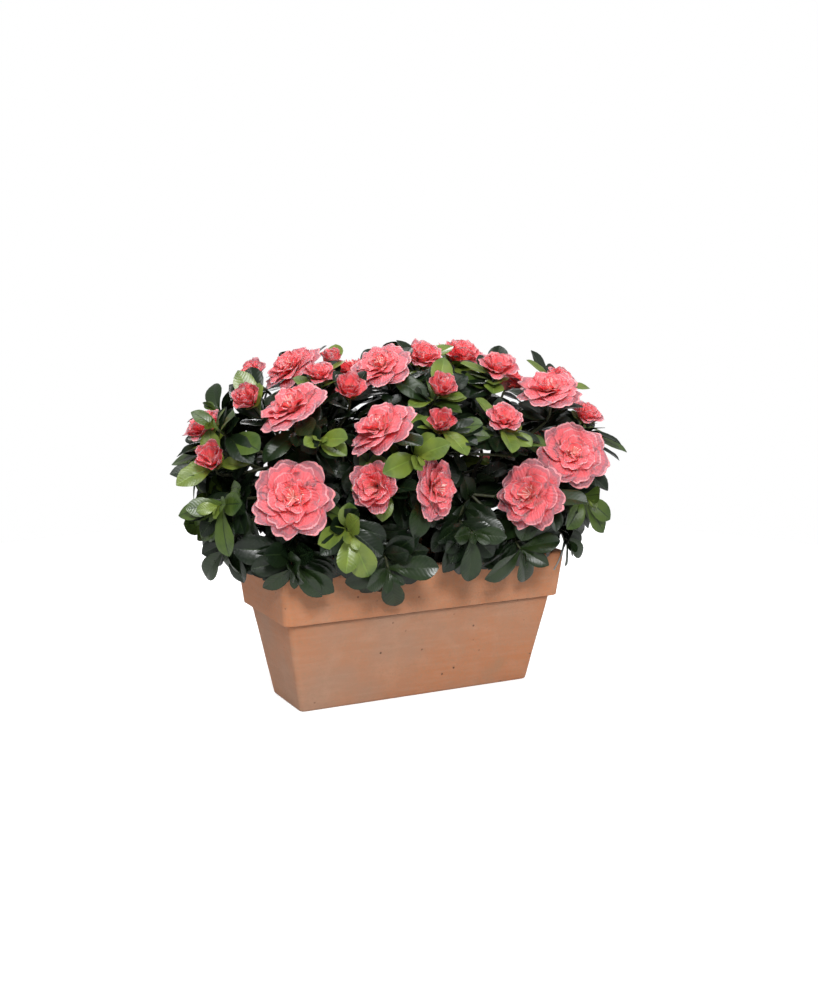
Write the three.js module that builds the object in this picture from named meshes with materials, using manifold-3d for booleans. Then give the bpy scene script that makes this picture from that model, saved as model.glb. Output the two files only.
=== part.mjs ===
// An artificial azalea in full flower, set in a filled terracotta balcony trough.
// Millimetres, +Z up. The origin is the middle of the trough's flat underside,
// -Y is the front of the plant and +X its right-hand end.
import * as THREE from 'three';
import { mergeVertices } from 'three/addons/utils/BufferGeometryUtils.js';
import Module from 'manifold-3d';

const wasm = await Module();
wasm.setup();
const { Manifold } = wasm;
const { degToRad, lerp } = THREE.MathUtils;

const SEAT = 0.3; // clearance wherever two pieces meet

// The terracotta trough and what fills it
const TROUGH = {
  length: 290,
  width: 120,
  height: 130,
  band: 43, // height of the thick rim band
  bandDraft: 4.5, // how far the band leans in, top to bottom
  ledge: 5.5, // how far the band stands out from the body
  ledgeDrop: 4,
  taper: 26, // how far the foot is inside the rim, on every side
  wall: 9,
  floor: 12,
  lipRound: 2,
  footRound: 2,
  corner: 8, // radius of the upright corners at the rim
  cornerShrink: 0.15, // how much smaller that is for each millimetre inside the rim
  cornerLeast: 3,
  cornerSteps: 3,
};
const FILLING = { belowRim: 14, crown: 3, shoulder: 16 };
const SOIL_TOP = TROUGH.height - FILLING.belowRim;

// The crown that the shoots' tips lie on
const CROWN = {
  centre: new THREE.Vector3(-5, 0, 215),
  half: new THREE.Vector3(205, 112, 105),
  squareness: 2.6, // 2 is an ellipsoid, more is boxier
};

// Limbs, by radius
const STEM = {
  names: ['far_left', 'left', 'middle', 'right', 'far_right'],
  apart: 42,
  height: 58,
  lean: 3, // outwards, more for each stem from the middle
  foot: 5.5,
  neck: 4,
  flare: 3,
  flareEnd: 0.25, // as a share of the height
  sides: 8,
  steps: 6,
};
const BOUGH = {
  base: 2.3,
  tip: 1.7,
  sides: 6,
  steps: 3,
  reach: 0.74, // how far it goes towards the hub of its mass
  lowest: 0.25, // where on its stem the lowest bough starts
  highest: 0.97,
  offset: 4, // of its start from the stem's axis
  turn: 6, // a bow this far aside starts 45 degrees round the stem
  checks: 30,
  enough: 6,
  // How it may bow, aside and up: the roomiest among the boughs before it is taken
  bows: [[0, 5], [0, 12], [8, 5], [-8, 5], [0, -4], [14, 8], [-14, 8], [18, 0], [-18, 0], [22, 10], [-22, 10]],
};
const TWIG = {
  hub: 1.8,
  base: 1.8,
  tip: 1.5,
  sides: 3,
  steps: 2,
  hubDepth: 60, // of a mass's hub below the crown
  fork: 0.92, // where on the mass's stem its twigs start
  straight: 5, // beyond the last leaves
  inBloom: 0.4, // how deep it goes, as a share of the bloom's depth
};

// A leaf, as shares of its length, but for its thickness and its root's depth in the twig
const LEAF = {
  aspect: 0.58,
  widest: 0.58,
  thickest: 0.3,
  cup: 0.05,
  droop: 0.05,
  thick: 1.4,
  sink: 0.6,
};

// How the leaves of a whorl vary, and how one is tried again where it doesn't fit
const VARY = { turn: 0.3, pitch: 16, length: 0.2 };
const RETRY = { times: 7, swing: 0.3, closer: 7, shorter: 0.06 };
const SPACE_MARGIN = 0.8; // a leaf stays this far inside its own mass's space
const LIMB_MARGIN = 1.1;
const FUSE_TOLERANCE = 0.12;
const SEED = 20417;

// What a shoot carries: the room it keeps to itself, the profile of its bloom as shares
// of the bloom's radius, and its whorls. A whorl has a count of leaves, its distance
// behind the bloom, its pitch from the shoot's axis in degrees, and its leaves' length.
const KINDS = {
  open: {
    room: 30,
    sides: 10,
    notch: 0.16,
    profile: [[0, -0.5], [0.55, -0.3], [1, 0], [0.62, 0.3], [0, 0.16]],
    whorls: [[5, 3, 80, 48], [3, 14, 76, 52]],
  },
  half: {
    room: 20,
    sides: 8,
    notch: 0.1,
    profile: [[0, -0.8], [0.45, -0.3], [1, 0.42], [0, 0.2]],
    whorls: [[5, 2, 62, 38], [3, 14, 80, 50]],
  },
  bud: {
    room: 15,
    sides: 6,
    notch: 0,
    profile: [[0, -1], [0.86, -0.25], [0.74, 0.5], [0, 0.95]],
    whorls: [[5, 2, 58, 36], [3, 14, 82, 48]],
  },
  leafy: {
    room: 17,
    profile: [[0, 0]],
    whorls: [[5, 1, 64, 44], [4, 16, 86, 52]],
  },
};

const HUB_WHORL = [3, 5, 74, 46]; // the inner leaves, just behind where a mass's stem divides

// The shoots that face the front: what each carries, its bearing and rise on the crown
// (0 is the front, 90 the right-hand end), the bearing and rise that it faces, and its
// bloom's diameter. Leafy shoots look straight out of the crown.
const FRONT_SHOOTS = [
  ['open', -40, -3, -27, 20, 68],
  ['half', -21, 0, -50, 8, 44],
  ['open', -4, -3, 30, 6, 60],
  ['open', 21, -9, -60, 18, 66],
  ['open', 37, 8, -18, 30, 64],
  ['open', 41, 39, -30, 66, 60],
  ['half', 64, 42, 20, 48, 32],
  ['open', -24, 62, -48, 50, 54],
  ['half', 12, 74, -10, 55, 36],
  ['open', -88, 60, -80, 50, 56],
  ['half', -96, 50, -84, 42, 34],
  ['open', -46, 36, -72, 56, 64],
  ['bud', -64, 38, -50, 36, 25],
  ['half', -47, 53, -26, 62, 30],
  ['bud', -60, 66, -40, 66, 20],
  ['bud', -30, 43, -22, 40, 26],
  ['open', -20, 27, -78, 50, 62],
  ['half', -82, 26, -90, 52, 38],
  ['bud', -67, 12, -36, 34, 27],
  ['half', 100, 70, 10, 70, 44],
  ['half', 35, 55, -10, 56, 36],
  ['bud', 0, 44, 0, 42, 25],
  ['bud', -3, 27, -24, 36, 25],
  ['half', 16, 27, -14, 48, 34],
  ['half', 50, 24, 14, 60, 32],
  ['leafy', -34, 20],
  ['leafy', -68, 24],
  ['leafy', -62, -8],
  ['leafy', -27, -20],
  ['leafy', -10, 12],
  ['leafy', 17, 9],
  ['leafy', -45, -36],
  ['leafy', -70, -30],
  ['leafy', 42, -14],
  ['leafy', -18, -42],
  ['leafy', 6, -26],
  ['leafy', 27, -38],
  ['leafy', 50, -36],
];

// The rule that fills the rest of the crown: places along a spiral, taken where no shoot
// is near. A bloom needs clear room, and the front takes leafy shoots only.
const FILL = {
  places: 150,
  lowest: -0.66, // sine of the lowest rise
  apart: 50,
  front: -30, // places with a smaller y are at the front
  frontReach: 0.86,
  reach: 0.88,
  clear: 2,
  kinds: ['open', 'leafy', 'half', 'leafy', 'open', 'bud', 'leafy'],
  sizes: { open: 62, half: 36, bud: 26, leafy: 0 },
};

// The masses of foliage by row: the row's rise on the crown, then each name and bearing
const ROWS = [
  ['front_low', -24, { left: -58, mid_left: -24, mid_right: 12, right: 48 }],
  ['front_mid', 14, { left: -52, mid_left: -22, mid_right: 8, right: 40 }],
  ['end', 4, { left: -90, right: 90 }],
  ['shoulder', 42, { left: -84, right: 72 }],
  ['top', 60, { left: -50, mid: -14, right: 60 }],
  ['back_high', 55, { left: -140, right: 160 }],
  ['back_mid', 12, { left: -128, mid: 180, right: 128 }],
  ['back_low', -24, { left: -132, mid: 180, right: 132 }],
];
const HEART_REACH = 0.85; // how far out the heart of a mass is, where 1 is the crown's skin

const FINISHES = {
  terracotta: { color: 0xb9825f, roughness: 0.9, metalness: 0 },
  filling: { color: 0x14110e, roughness: 1, metalness: 0 },
  bark: { color: 0x2a2c1c, roughness: 0.8, metalness: 0 },
  foliage: { color: 0x2f4a24, roughness: 0.5, metalness: 0 },
};

// A repeatable stream of numbers from 0 to 1.
function seededStream(seed) {
  const [factor, step, range] = [1664525, 1013904223, 2 ** 32];
  let state = seed;
  return () => {
    state = (Math.imul(state, factor) + step) >>> 0;
    return state / range;
  };
}

// Closed geometry to a solid, and back
function solidFrom(geometry) {
  const bare = geometry.clone();
  bare.deleteAttribute('normal');
  bare.deleteAttribute('uv');
  const merged = mergeVertices(bare, 1e-3);
  return new Manifold(new wasm.Mesh({
    numProp: 3,
    vertProperties: merged.attributes.position.array,
    triVerts: new Uint32Array(merged.index.array),
  }));
}

function geometryFrom(solid) {
  const mesh = solid.getMesh();
  const geometry = new THREE.BufferGeometry();
  geometry.setAttribute('position', new THREE.BufferAttribute(mesh.vertProperties, 3));
  geometry.setIndex(new THREE.BufferAttribute(mesh.triVerts, 1));
  geometry.computeVertexNormals();
  return geometry;
}

// Moves every vertex of a geometry by a function of its place.
function reshape(geometry, move) {
  const position = geometry.attributes.position;
  const vertex = new THREE.Vector3();
  for (let i = 0; i < position.count; i += 1) {
    vertex.fromBufferAttribute(position, i);
    move(vertex);
    position.setXYZ(i, vertex.x, vertex.y, vertex.z);
  }
  return geometry;
}

// The number of the lathe's step that a vertex is on.
function latheStep(vertex, steps) {
  return Math.round((Math.atan2(vertex.x, vertex.z) / (2 * Math.PI)) * steps + steps) % steps;
}

// A lathe pressed into a rectangle with round corners. Its radius is a ring's half
// length, and each ring is the rim's rectangle drawn in by the same amount all round.
function pressedLathe(profile) {
  const perCorner = TROUGH.cornerSteps + 1;
  const steps = 4 * perCorner;
  const points = profile.map(([radius, height]) => new THREE.Vector2(radius, height));
  return reshape(new THREE.LatheGeometry(points, steps), (v) => {
    const height = v.y;
    const ring = Math.hypot(v.x, v.z);
    const inset = TROUGH.length / 2 - ring;
    const step = latheStep(v, steps);
    const corner = Math.floor(step / perCorner);
    const angle = ((corner + (step % perCorner) / TROUGH.cornerSteps) * Math.PI) / 2;
    const round = Math.max(TROUGH.corner - inset * TROUGH.cornerShrink, TROUGH.cornerLeast);
    const x = TROUGH.length / 2 - inset - round;
    const y = TROUGH.width / 2 - inset - round;
    v.set(
      (corner === 0 || corner === 3 ? x : -x) + round * Math.cos(angle),
      (corner < 2 ? y : -y) + round * Math.sin(angle),
      height,
    );
    if (ring < 1) v.set(0, 0, height);
  });
}

// Half the length of the trough's inside at a height.
function insideHalf(height) {
  const top = TROUGH.length / 2 - TROUGH.wall;
  const share = (height - TROUGH.floor) / (TROUGH.height - TROUGH.floor);
  return lerp(top - TROUGH.taper, top, share);
}

function troughSolid() {
  const rim = TROUGH.length / 2;
  const { height, floor, footRound, lipRound } = TROUGH;
  const bandFoot = height - TROUGH.band;
  return solidFrom(pressedLathe([
    [0, 0],
    [rim - TROUGH.taper - footRound, 0],
    [rim - TROUGH.taper, footRound],
    [rim - TROUGH.bandDraft - TROUGH.ledge, bandFoot - TROUGH.ledgeDrop],
    [rim - TROUGH.bandDraft, bandFoot],
    [rim, height - lipRound],
    [rim - lipRound, height],
    [insideHalf(height) + lipRound, height],
    [insideHalf(height - lipRound), height - lipRound],
    [insideHalf(floor), floor],
    [0, floor],
  ]));
}

// The dark filling, seated in the trough and a little higher in its middle.
function fillingSolid() {
  const low = TROUGH.floor + SEAT;
  const edge = SOIL_TOP - FILLING.crown;
  return solidFrom(pressedLathe([
    [0, low],
    [insideHalf(low) - SEAT, low],
    [insideHalf(edge) - SEAT, edge],
    [insideHalf(SOIL_TOP) - FILLING.shoulder, SOIL_TOP],
    [0, SOIL_TOP],
  ]));
}

function direction(bearing, rise) {
  const level = Math.cos(degToRad(rise));
  return new THREE.Vector3(
    level * Math.sin(degToRad(bearing)),
    -level * Math.cos(degToRad(bearing)),
    Math.sin(degToRad(rise)),
  );
}

// The point of the crown at a bearing and rise; a reach of 1 is its skin.
function crownPoint(bearing, rise, reach = 1) {
  const way = direction(bearing, rise);
  const power = CROWN.squareness;
  const level = way.toArray().reduce((sum, v) => sum + Math.abs(v) ** power, 0);
  return way.multiplyScalar(reach / level ** (1 / power)).multiply(CROWN.half).add(CROWN.centre);
}

// The way straight out of the crown at a bearing and rise.
function outward(bearing, rise) {
  const slopes = direction(bearing, rise).toArray().map((v) => (
    Math.sign(v) * Math.abs(v) ** (CROWN.squareness - 1)));
  return new THREE.Vector3(...slopes).divide(CROWN.half).normalize();
}

function tapered(from, to) {
  return (share) => lerp(from, to, share);
}

// A limb: a cylinder bent along a curve, its radius given at each share of its length.
function limbSolid(curve, radiusAt, sides, steps) {
  const isUpright = Math.abs(curve.getTangent(0).z) > 0.9;
  const reference = isUpright ? new THREE.Vector3(1, 0, 0) : new THREE.Vector3(0, 0, 1);
  const across = new THREE.Vector3();
  const over = new THREE.Vector3();
  return solidFrom(reshape(new THREE.CylinderGeometry(1, 1, 1, sides, steps), (v) => {
    const share = THREE.MathUtils.clamp(v.y + 0.5, 0, 1);
    const way = curve.getTangent(share);
    across.crossVectors(way, reference).normalize();
    over.crossVectors(across, way);
    across.multiplyScalar(v.x * radiusAt(share));
    over.multiplyScalar(v.z * radiusAt(share));
    v.copy(curve.getPoint(share)).add(across).add(over);
  }));
}

// The short stems that come up out of the filling in a row
function makeStem(name, i) {
  const side = i - (STEM.names.length - 1) / 2;
  const foot = new THREE.Vector3(side * STEM.apart, 0, SOIL_TOP + SEAT);
  const top = foot.clone().add(new THREE.Vector3(side * STEM.lean, 0, STEM.height));
  const control = foot.clone().setZ((foot.z + top.z) / 2);
  const curve = new THREE.QuadraticBezierCurve3(foot, control, top);
  return { name: 'stem_' + name, curve, top, masses: [] };
}

function stemSolid(stem, swell = 0) {
  const radiusAt = (share) => {
    const flare = STEM.flare * Math.max(0, 1 - share / STEM.flareEnd) ** 2;
    return lerp(STEM.foot, STEM.neck, share) + flare + swell;
  };
  return limbSolid(stem.curve, radiusAt, STEM.sides, STEM.steps);
}

function makeShoot([kind, bearing, rise, turn, tilt, size = 0], reach = 1) {
  const out = outward(bearing, rise);
  const facing = turn === undefined ? out : direction(turn, tilt);
  return { kind, size, facing, out, tip: crownPoint(bearing, rise, reach) };
}

// The front shoots, then those that the rule adds.
function makeShoots() {
  const found = FRONT_SHOOTS.map((row) => makeShoot(row));
  const goldenAngle = 180 * (3 - Math.sqrt(5));
  let added = 0;
  for (let i = 0; i < FILL.places; i += 1) {
    const height = lerp(1, FILL.lowest, (i + 0.5) / FILL.places);
    const rise = THREE.MathUtils.radToDeg(Math.asin(height));
    const bearing = ((i * goldenAngle) % 360) - 180;
    const skin = crownPoint(bearing, rise);
    if (found.some((other) => other.tip.distanceTo(skin) < FILL.apart)) continue;
    const isFront = skin.y < FILL.front;
    const wanted = isFront ? 'leafy' : FILL.kinds[added % FILL.kinds.length];
    const shoot = makeShoot([wanted, bearing, rise], isFront ? FILL.frontReach : FILL.reach);
    const radius = FILL.sizes[wanted] / 2 + FILL.clear;
    const isCrowded = found.some((other) => (
      other.size && other.tip.distanceTo(shoot.tip) < other.size / 2 + radius));
    if (isCrowded) shoot.kind = 'leafy';
    shoot.size = FILL.sizes[shoot.kind];
    found.push(shoot);
    added += 1;
  }
  return found;
}

const stems = STEM.names.map(makeStem);
const masses = ROWS.flatMap(([row, rise, bearings]) => (
  Object.entries(bearings).map(([side, bearing]) => ({
    name: row + '_' + side,
    heart: crownPoint(bearing, rise, HEART_REACH),
    shoots: [],
  }))));
const shoots = makeShoots();

// Each shoot belongs to the mass with the nearest heart.
for (const shoot of shoots) {
  shoot.room = Math.max(KINDS[shoot.kind].room, shoot.size / 2);
  const away = masses.map((mass) => mass.heart.distanceTo(shoot.tip));
  shoot.mass = masses[away.indexOf(Math.min(...away))];
  shoot.mass.shoots.push(shoot);
}

// Whether a point lies well inside a mass's own space: nearer to one of its shoots, each
// less the room that it keeps to itself, than to any shoot of another mass.
function isInSpace(point, mass) {
  const power = (shoot) => point.distanceToSquared(shoot.tip) - shoot.room ** 2;
  const home = mass.shoots.reduce((a, b) => (power(b) < power(a) ? b : a));
  return shoots.every((other) => {
    if (other.mass === mass) return true;
    const margin = 2 * SPACE_MARGIN * other.tip.distanceTo(home.tip);
    return power(other) - power(home) > margin;
  });
}

// A mass's hub, where its own stem divides, lies behind the middle of its shoots. Its
// bough comes from the nearest stem.
for (const mass of masses) {
  const middle = new THREE.Vector3();
  const out = new THREE.Vector3();
  for (const shoot of mass.shoots) {
    middle.addScaledVector(shoot.tip, 1 / mass.shoots.length);
    out.add(shoot.out);
  }
  mass.hub = middle.addScaledVector(out.normalize(), -TWIG.hubDepth);
  const away = stems.map((stem) => Math.abs(stem.top.x - mass.hub.x));
  mass.stem = stems[away.indexOf(Math.min(...away))];
  mass.stem.masses.push(mass);
}

const boughPlaces = [];

// How near a curve comes to the boughs before it.
function roomOf(curve) {
  const gaps = curve.getPoints(BOUGH.checks).flatMap((place) => (
    boughPlaces.map((other) => place.distanceTo(other))));
  return Math.min(BOUGH.enough, ...gaps);
}

// A bough's curve from the side of its stem to where the stem of its mass begins, bowed
// aside and up.
function bowedCurve(axisPoint, hub, [aside, lift]) {
  const out = hub.clone().sub(axisPoint);
  const side = new THREE.Vector3(-out.y, out.x, 0).normalize();
  const level = out.clone().setZ(0).normalize().addScaledVector(side, aside / BOUGH.turn);
  const from = axisPoint.clone().add(level.setLength(BOUGH.offset));
  const to = axisPoint.clone().addScaledVector(out, BOUGH.reach);
  const control = from.clone().lerp(to, 0.5).addScaledVector(side, aside);
  control.z += lift;
  return new THREE.QuadraticBezierCurve3(from, control, to);
}

// The boughs leave a stem in the order of their hubs' height, from the lowest up.
for (const stem of stems) {
  stem.masses.sort((a, b) => a.hub.z - b.hub.z);
  stem.masses.forEach((mass, i) => {
    const share = lerp(BOUGH.lowest, BOUGH.highest, i / (stem.masses.length - 1));
    const bowed = BOUGH.bows.map((bow) => bowedCurve(stem.curve.getPoint(share), mass.hub, bow));
    const rooms = bowed.map(roomOf);
    mass.bough = bowed[rooms.indexOf(Math.max(...rooms))];
    boughPlaces.push(...mass.bough.getPoints(BOUGH.checks));
  });
}

// The stem of a mass runs on from its bough to the hub, with a twig from there to each
// shoot, straight for as far back as the shoot has leaves.
for (const mass of masses) {
  const way = mass.bough.getTangent(1);
  const start = mass.bough.getPoint(1).addScaledVector(way, SEAT);
  const control = start.clone().addScaledVector(way, start.distanceTo(mass.hub) / 2);
  mass.curve = new THREE.QuadraticBezierCurve3(start, control, mass.hub);
  for (const shoot of mass.shoots) {
    const { profile, whorls } = KINDS[shoot.kind];
    shoot.depth = (-profile[0][1] * shoot.size) / 2;
    const lastLeaves = shoot.depth + whorls.at(-1)[1];
    const along = (back) => shoot.tip.clone().addScaledVector(shoot.facing, -back);
    const knee = along(lastLeaves + TWIG.straight);
    const end = along(shoot.depth * (1 - TWIG.inBloom));
    shoot.twig = new THREE.CatmullRomCurve3([mass.curve.getPoint(TWIG.fork), knee, end]);
  }
}

// Places along every limb, with the limb's radius there, for leaves to keep clear of
const limbPlaces = [];

function addLimbPlaces(curve, count, radius) {
  curve.getPoints(count).forEach((place) => limbPlaces.push({ place, radius }));
}

stems.forEach((stem) => addLimbPlaces(stem.curve, 10, STEM.foot));
for (const mass of masses) {
  addLimbPlaces(mass.bough, 20, BOUGH.base);
  addLimbPlaces(mass.curve, 10, BOUGH.tip);
  mass.shoots.forEach((shoot) => addLimbPlaces(shoot.twig, 24, TWIG.base));
}

// Whether a point is clear of the limbs, the trough and what is in it.
function isClear(point) {
  const isOverTrough = Math.abs(point.x) < TROUGH.length / 2 + LIMB_MARGIN
    && Math.abs(point.y) < TROUGH.width / 2 + LIMB_MARGIN;
  const isLow = point.z < TROUGH.height + LIMB_MARGIN;
  return !(isOverTrough && isLow)
    && limbPlaces.every(({ place, radius }) => place.distanceTo(point) > radius + LIMB_MARGIN);
}

// Whether any place lies in a shoot's bloom, taken as a cone with a cap.
function isInBloom(places, shoot) {
  if (!shoot.size) return false;
  const radius = shoot.size / 2;
  const depth = shoot.depth / radius;
  const cap = 0.8;
  return places.some((place) => {
    const from = place.clone().sub(shoot.tip).divideScalar(radius);
    const ahead = from.dot(shoot.facing);
    const aside = from.addScaledVector(shoot.facing, -ahead).length();
    return ahead > -depth && ahead < cap && aside < Math.min(1.05, (ahead + depth) / depth + 0.05);
  });
}

// A leaf on a shoot, by its turn about the axis, its pitch, distance back and length.
function makeLeaf(shoot, turn, pitch, back, length) {
  const axis = shoot.facing;
  const side = new THREE.Vector3(-axis.y, axis.x, 0).normalize();
  const over = new THREE.Vector3().crossVectors(axis, side);
  const spoke = side.multiplyScalar(Math.cos(turn)).addScaledVector(over, Math.sin(turn));
  const way = axis.clone().multiplyScalar(Math.cos(pitch)).addScaledVector(spoke, Math.sin(pitch));
  const upper = axis.clone().multiplyScalar(Math.sin(pitch)).addScaledVector(spoke, -Math.cos(pitch));
  const across = new THREE.Vector3().crossVectors(upper, way);
  const root = shoot.tip.clone().addScaledVector(axis, -back).addScaledVector(way, -LEAF.sink);
  const leaf = { root, way, upper, across, length, half: (length * LEAF.aspect) / 2 };
  leaf.places = leafPlaces(leaf);
  return leaf;
}

// Places on a leaf's blade, from side to side at five distances from its root.
function leafPlaces({ root, way, across, length, half }) {
  const end = 1.1;
  return [0.2, 0.4, 0.6, 0.8, 1.02].flatMap((along) => {
    const width = along < LEAF.widest ? along / LEAF.widest : (end - along) / (end - LEAF.widest);
    return [-1, -0.5, 0, 0.5, 1].map((share) => (
      root.clone().addScaledVector(way, along * length).addScaledVector(across, share * width * half)));
  });
}

// Whether one leaf has places on both sides of another's blade, or close to it.
function crosses(leaf, other) {
  const overBlade = leaf.places.flatMap((place) => {
    const from = place.clone().sub(other.root);
    const along = from.dot(other.way) / other.length;
    const aside = Math.abs(from.dot(other.across)) / other.half;
    return along > 0.15 && along < 1.05 && aside < 1 ? [from.dot(other.upper)] : [];
  });
  return Math.min(...overBlade) < LEAF.thick && Math.max(...overBlade) > -LEAF.thick;
}

function fits(leaf, mass, leaves) {
  return !leaves.some((other) => crosses(leaf, other) || crosses(other, leaf))
    && !shoots.some((shoot) => isInBloom(leaf.places, shoot))
    && leaf.places.every((place) => isInSpace(place, mass) && isClear(place));
}

// Grows one ring of leaves. A leaf that doesn't fit is tried further round, closer to the
// shoot's axis and shorter, and is left out when it never fits.
function growWhorl(shoot, [count, behind, pitch, length], leaves, random) {
  const start = random() * 2 * Math.PI;
  for (let i = 0; i < count; i += 1) {
    const [turnShift, pitchShift, lengthShift] = [random() - 0.5, random() - 0.5, random() - 0.5];
    for (let attempt = 0; attempt < RETRY.times; attempt += 1) {
      const swing = (attempt % 2 ? 1 : -1) * Math.ceil(attempt / 2) * RETRY.swing;
      const leaf = makeLeaf(
        shoot,
        start + ((i + VARY.turn * turnShift + swing) * 2 * Math.PI) / count,
        degToRad(pitch + VARY.pitch * pitchShift - RETRY.closer * attempt),
        shoot.depth + behind,
        length * (1 + VARY.length * lengthShift - RETRY.shorter * attempt),
      );
      if (fits(leaf, shoot.mass, leaves)) {
        leaves.push(leaf);
        break;
      }
    }
  }
}

// A leaf's solid: an eight-faced ball pressed into a thin, cupped and drooping kite.
function leafSolid({ root, way, across, upper, length, half }) {
  const blade = reshape(new THREE.OctahedronGeometry(1), (v) => {
    const isEnd = Math.abs(v.x) > 0.5;
    const isFace = Math.abs(v.z) > 0.5;
    const middle = isFace ? LEAF.thickest : LEAF.widest;
    const along = isEnd ? (v.x + 1) / 2 : middle;
    const lift = LEAF.cup * Math.abs(v.y) - LEAF.droop * along ** 2;
    v.set(along * length, v.y * half, lift * length + (v.z * LEAF.thick) / 2);
  });
  const stand = new THREE.Matrix4().makeBasis(way, across, upper).setPosition(root);
  return solidFrom(blade.applyMatrix4(stand));
}

// A bloom's solid: a lathed cup or disc whose rim dips at every other step.
function bloomSolid({ kind, size, facing, tip }) {
  const { sides, notch, profile } = KINDS[kind];
  const radius = size / 2;
  const points = profile.map(([x, y]) => new THREE.Vector2(x * radius, y * radius));
  const cup = reshape(new THREE.LatheGeometry(points, sides), (v) => {
    const isDip = latheStep(v, sides) % 2 && Math.hypot(v.x, v.z) > 0.95 * radius;
    const keep = isDip ? 1 - notch : 1;
    v.set(v.x * keep, v.y, v.z * keep);
  });
  const turned = new THREE.Quaternion().setFromUnitVectors(new THREE.Vector3(0, 1, 0), facing);
  return solidFrom(cup.applyQuaternion(turned).translate(tip.x, tip.y, tip.z));
}

// A bough, cut clear of the stem that it leaves.
function boughSolid(mass) {
  const limb = limbSolid(mass.bough, tapered(BOUGH.base, BOUGH.tip), BOUGH.sides, BOUGH.steps);
  return limb.subtract(stemSolid(mass.stem, SEAT));
}

// A mass: its stem, a twig to each shoot, and the blooms, buds and leaves, fused.
function massSolid(mass, random) {
  const leaves = [];
  const pieces = [limbSolid(mass.curve, tapered(BOUGH.tip, TWIG.hub), BOUGH.sides, TWIG.steps)];
  const hub = { mass, tip: mass.hub, facing: mass.curve.getTangent(1), depth: 0 };
  growWhorl(hub, HUB_WHORL, leaves, random);
  for (const shoot of mass.shoots) {
    pieces.push(limbSolid(shoot.twig, tapered(TWIG.base, TWIG.tip), TWIG.sides, TWIG.steps));
    if (shoot.size) pieces.push(bloomSolid(shoot));
    KINDS[shoot.kind].whorls.forEach((whorl) => growWhorl(shoot, whorl, leaves, random));
  }
  pieces.push(...leaves.map(leafSolid));
  return Manifold.union(pieces).simplify(FUSE_TOLERANCE);
}

const group = new THREE.Group();

function addNode(name, solid, finish) {
  const mesh = new THREE.Mesh(geometryFrom(solid), new THREE.MeshStandardMaterial(finish));
  mesh.name = name;
  group.add(mesh);
}

const random = seededStream(SEED);
addNode('trough', troughSolid(), FINISHES.terracotta);
addNode('filling', fillingSolid(), FINISHES.filling);
stems.forEach((stem) => addNode(stem.name, stemSolid(stem), FINISHES.bark));
for (const mass of masses) {
  addNode('bough_' + mass.name, boughSolid(mass), FINISHES.bark);
  addNode('foliage_' + mass.name, massSolid(mass, random), FINISHES.foliage);
}

export default group;
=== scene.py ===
"""An artificial azalea in full flower, dressed around its packed terracotta trough.

The limbs, twigs and first leaves stand where the part's own rule puts them, so that rule is
written again here, in millimetres. Finer whorls of leaves then follow it within the same reach.
Blooms are stamped cloth petals in layers, with coral hearts and pale rims.
"""

from __future__ import annotations

import logging
import math
from collections.abc import Sequence
from dataclasses import dataclass, field
from enum import Enum, IntEnum

import bpy
import numpy as np
from bpy.types import ID, Collection, Material, Mesh, Node, NodeSocket, NodeTree, Object, World
from mathutils import Matrix, Vector, noise

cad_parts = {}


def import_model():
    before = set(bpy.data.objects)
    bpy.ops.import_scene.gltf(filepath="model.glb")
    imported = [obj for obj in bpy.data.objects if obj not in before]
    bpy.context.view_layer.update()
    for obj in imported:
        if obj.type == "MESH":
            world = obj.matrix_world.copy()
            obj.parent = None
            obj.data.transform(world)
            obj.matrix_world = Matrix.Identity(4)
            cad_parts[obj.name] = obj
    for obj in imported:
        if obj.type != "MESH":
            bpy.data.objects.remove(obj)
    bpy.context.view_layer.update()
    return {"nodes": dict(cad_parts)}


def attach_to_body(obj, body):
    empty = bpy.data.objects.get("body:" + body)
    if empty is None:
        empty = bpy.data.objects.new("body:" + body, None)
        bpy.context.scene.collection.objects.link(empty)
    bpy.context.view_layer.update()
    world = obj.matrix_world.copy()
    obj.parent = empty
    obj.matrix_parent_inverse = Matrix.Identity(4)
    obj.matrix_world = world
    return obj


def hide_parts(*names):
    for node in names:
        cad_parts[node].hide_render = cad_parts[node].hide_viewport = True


MM = 0.001
BODY = "root"
log = logging.getLogger("azalea")

Array = np.ndarray
Color = tuple[float, float, float]


def linear(red: int, green: int, blue: int) -> Color:
    """Return a linear colour for one as a screen shows it, with red, green and blue to 255."""
    shares = [channel / 255 for channel in (red, green, blue)]
    return tuple(s / 12.92 if s <= 0.04045 else ((s + 0.055) / 1.055) ** 2.4 for s in shares)


def unit(vector: Array) -> Array:
    """Return a vector, or each row of an array, at length one."""
    return vector / np.linalg.norm(vector, axis=-1, keepdims=True)


def lerp(start: float, end: float, share: float) -> float:
    """Return the value a share of the way from start to end."""
    return start + (end - start) * share


class Nodes:
    """A node tree with one short way to add a node, set it and link it."""

    def __init__(self, tree: NodeTree) -> None:
        """Keep the tree that nodes are added to."""
        self.tree = tree

    def add(self, kind: str, inputs: dict | None = None, **settings: object) -> Node:
        """Add a node.

        Args:
            kind: The node's type identifier.
            inputs: Values or output sockets by input name or number.
            **settings: The node's own properties.

        Returns:
            The new node.
        """
        node = self.tree.nodes.new(kind)
        for name, value in settings.items():
            setattr(node, name, value)
        for key, value in (inputs or {}).items():
            if isinstance(value, NodeSocket):
                self.tree.links.new(value, node.inputs[key])
            else:
                node.inputs[key].default_value = value
        return node


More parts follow.
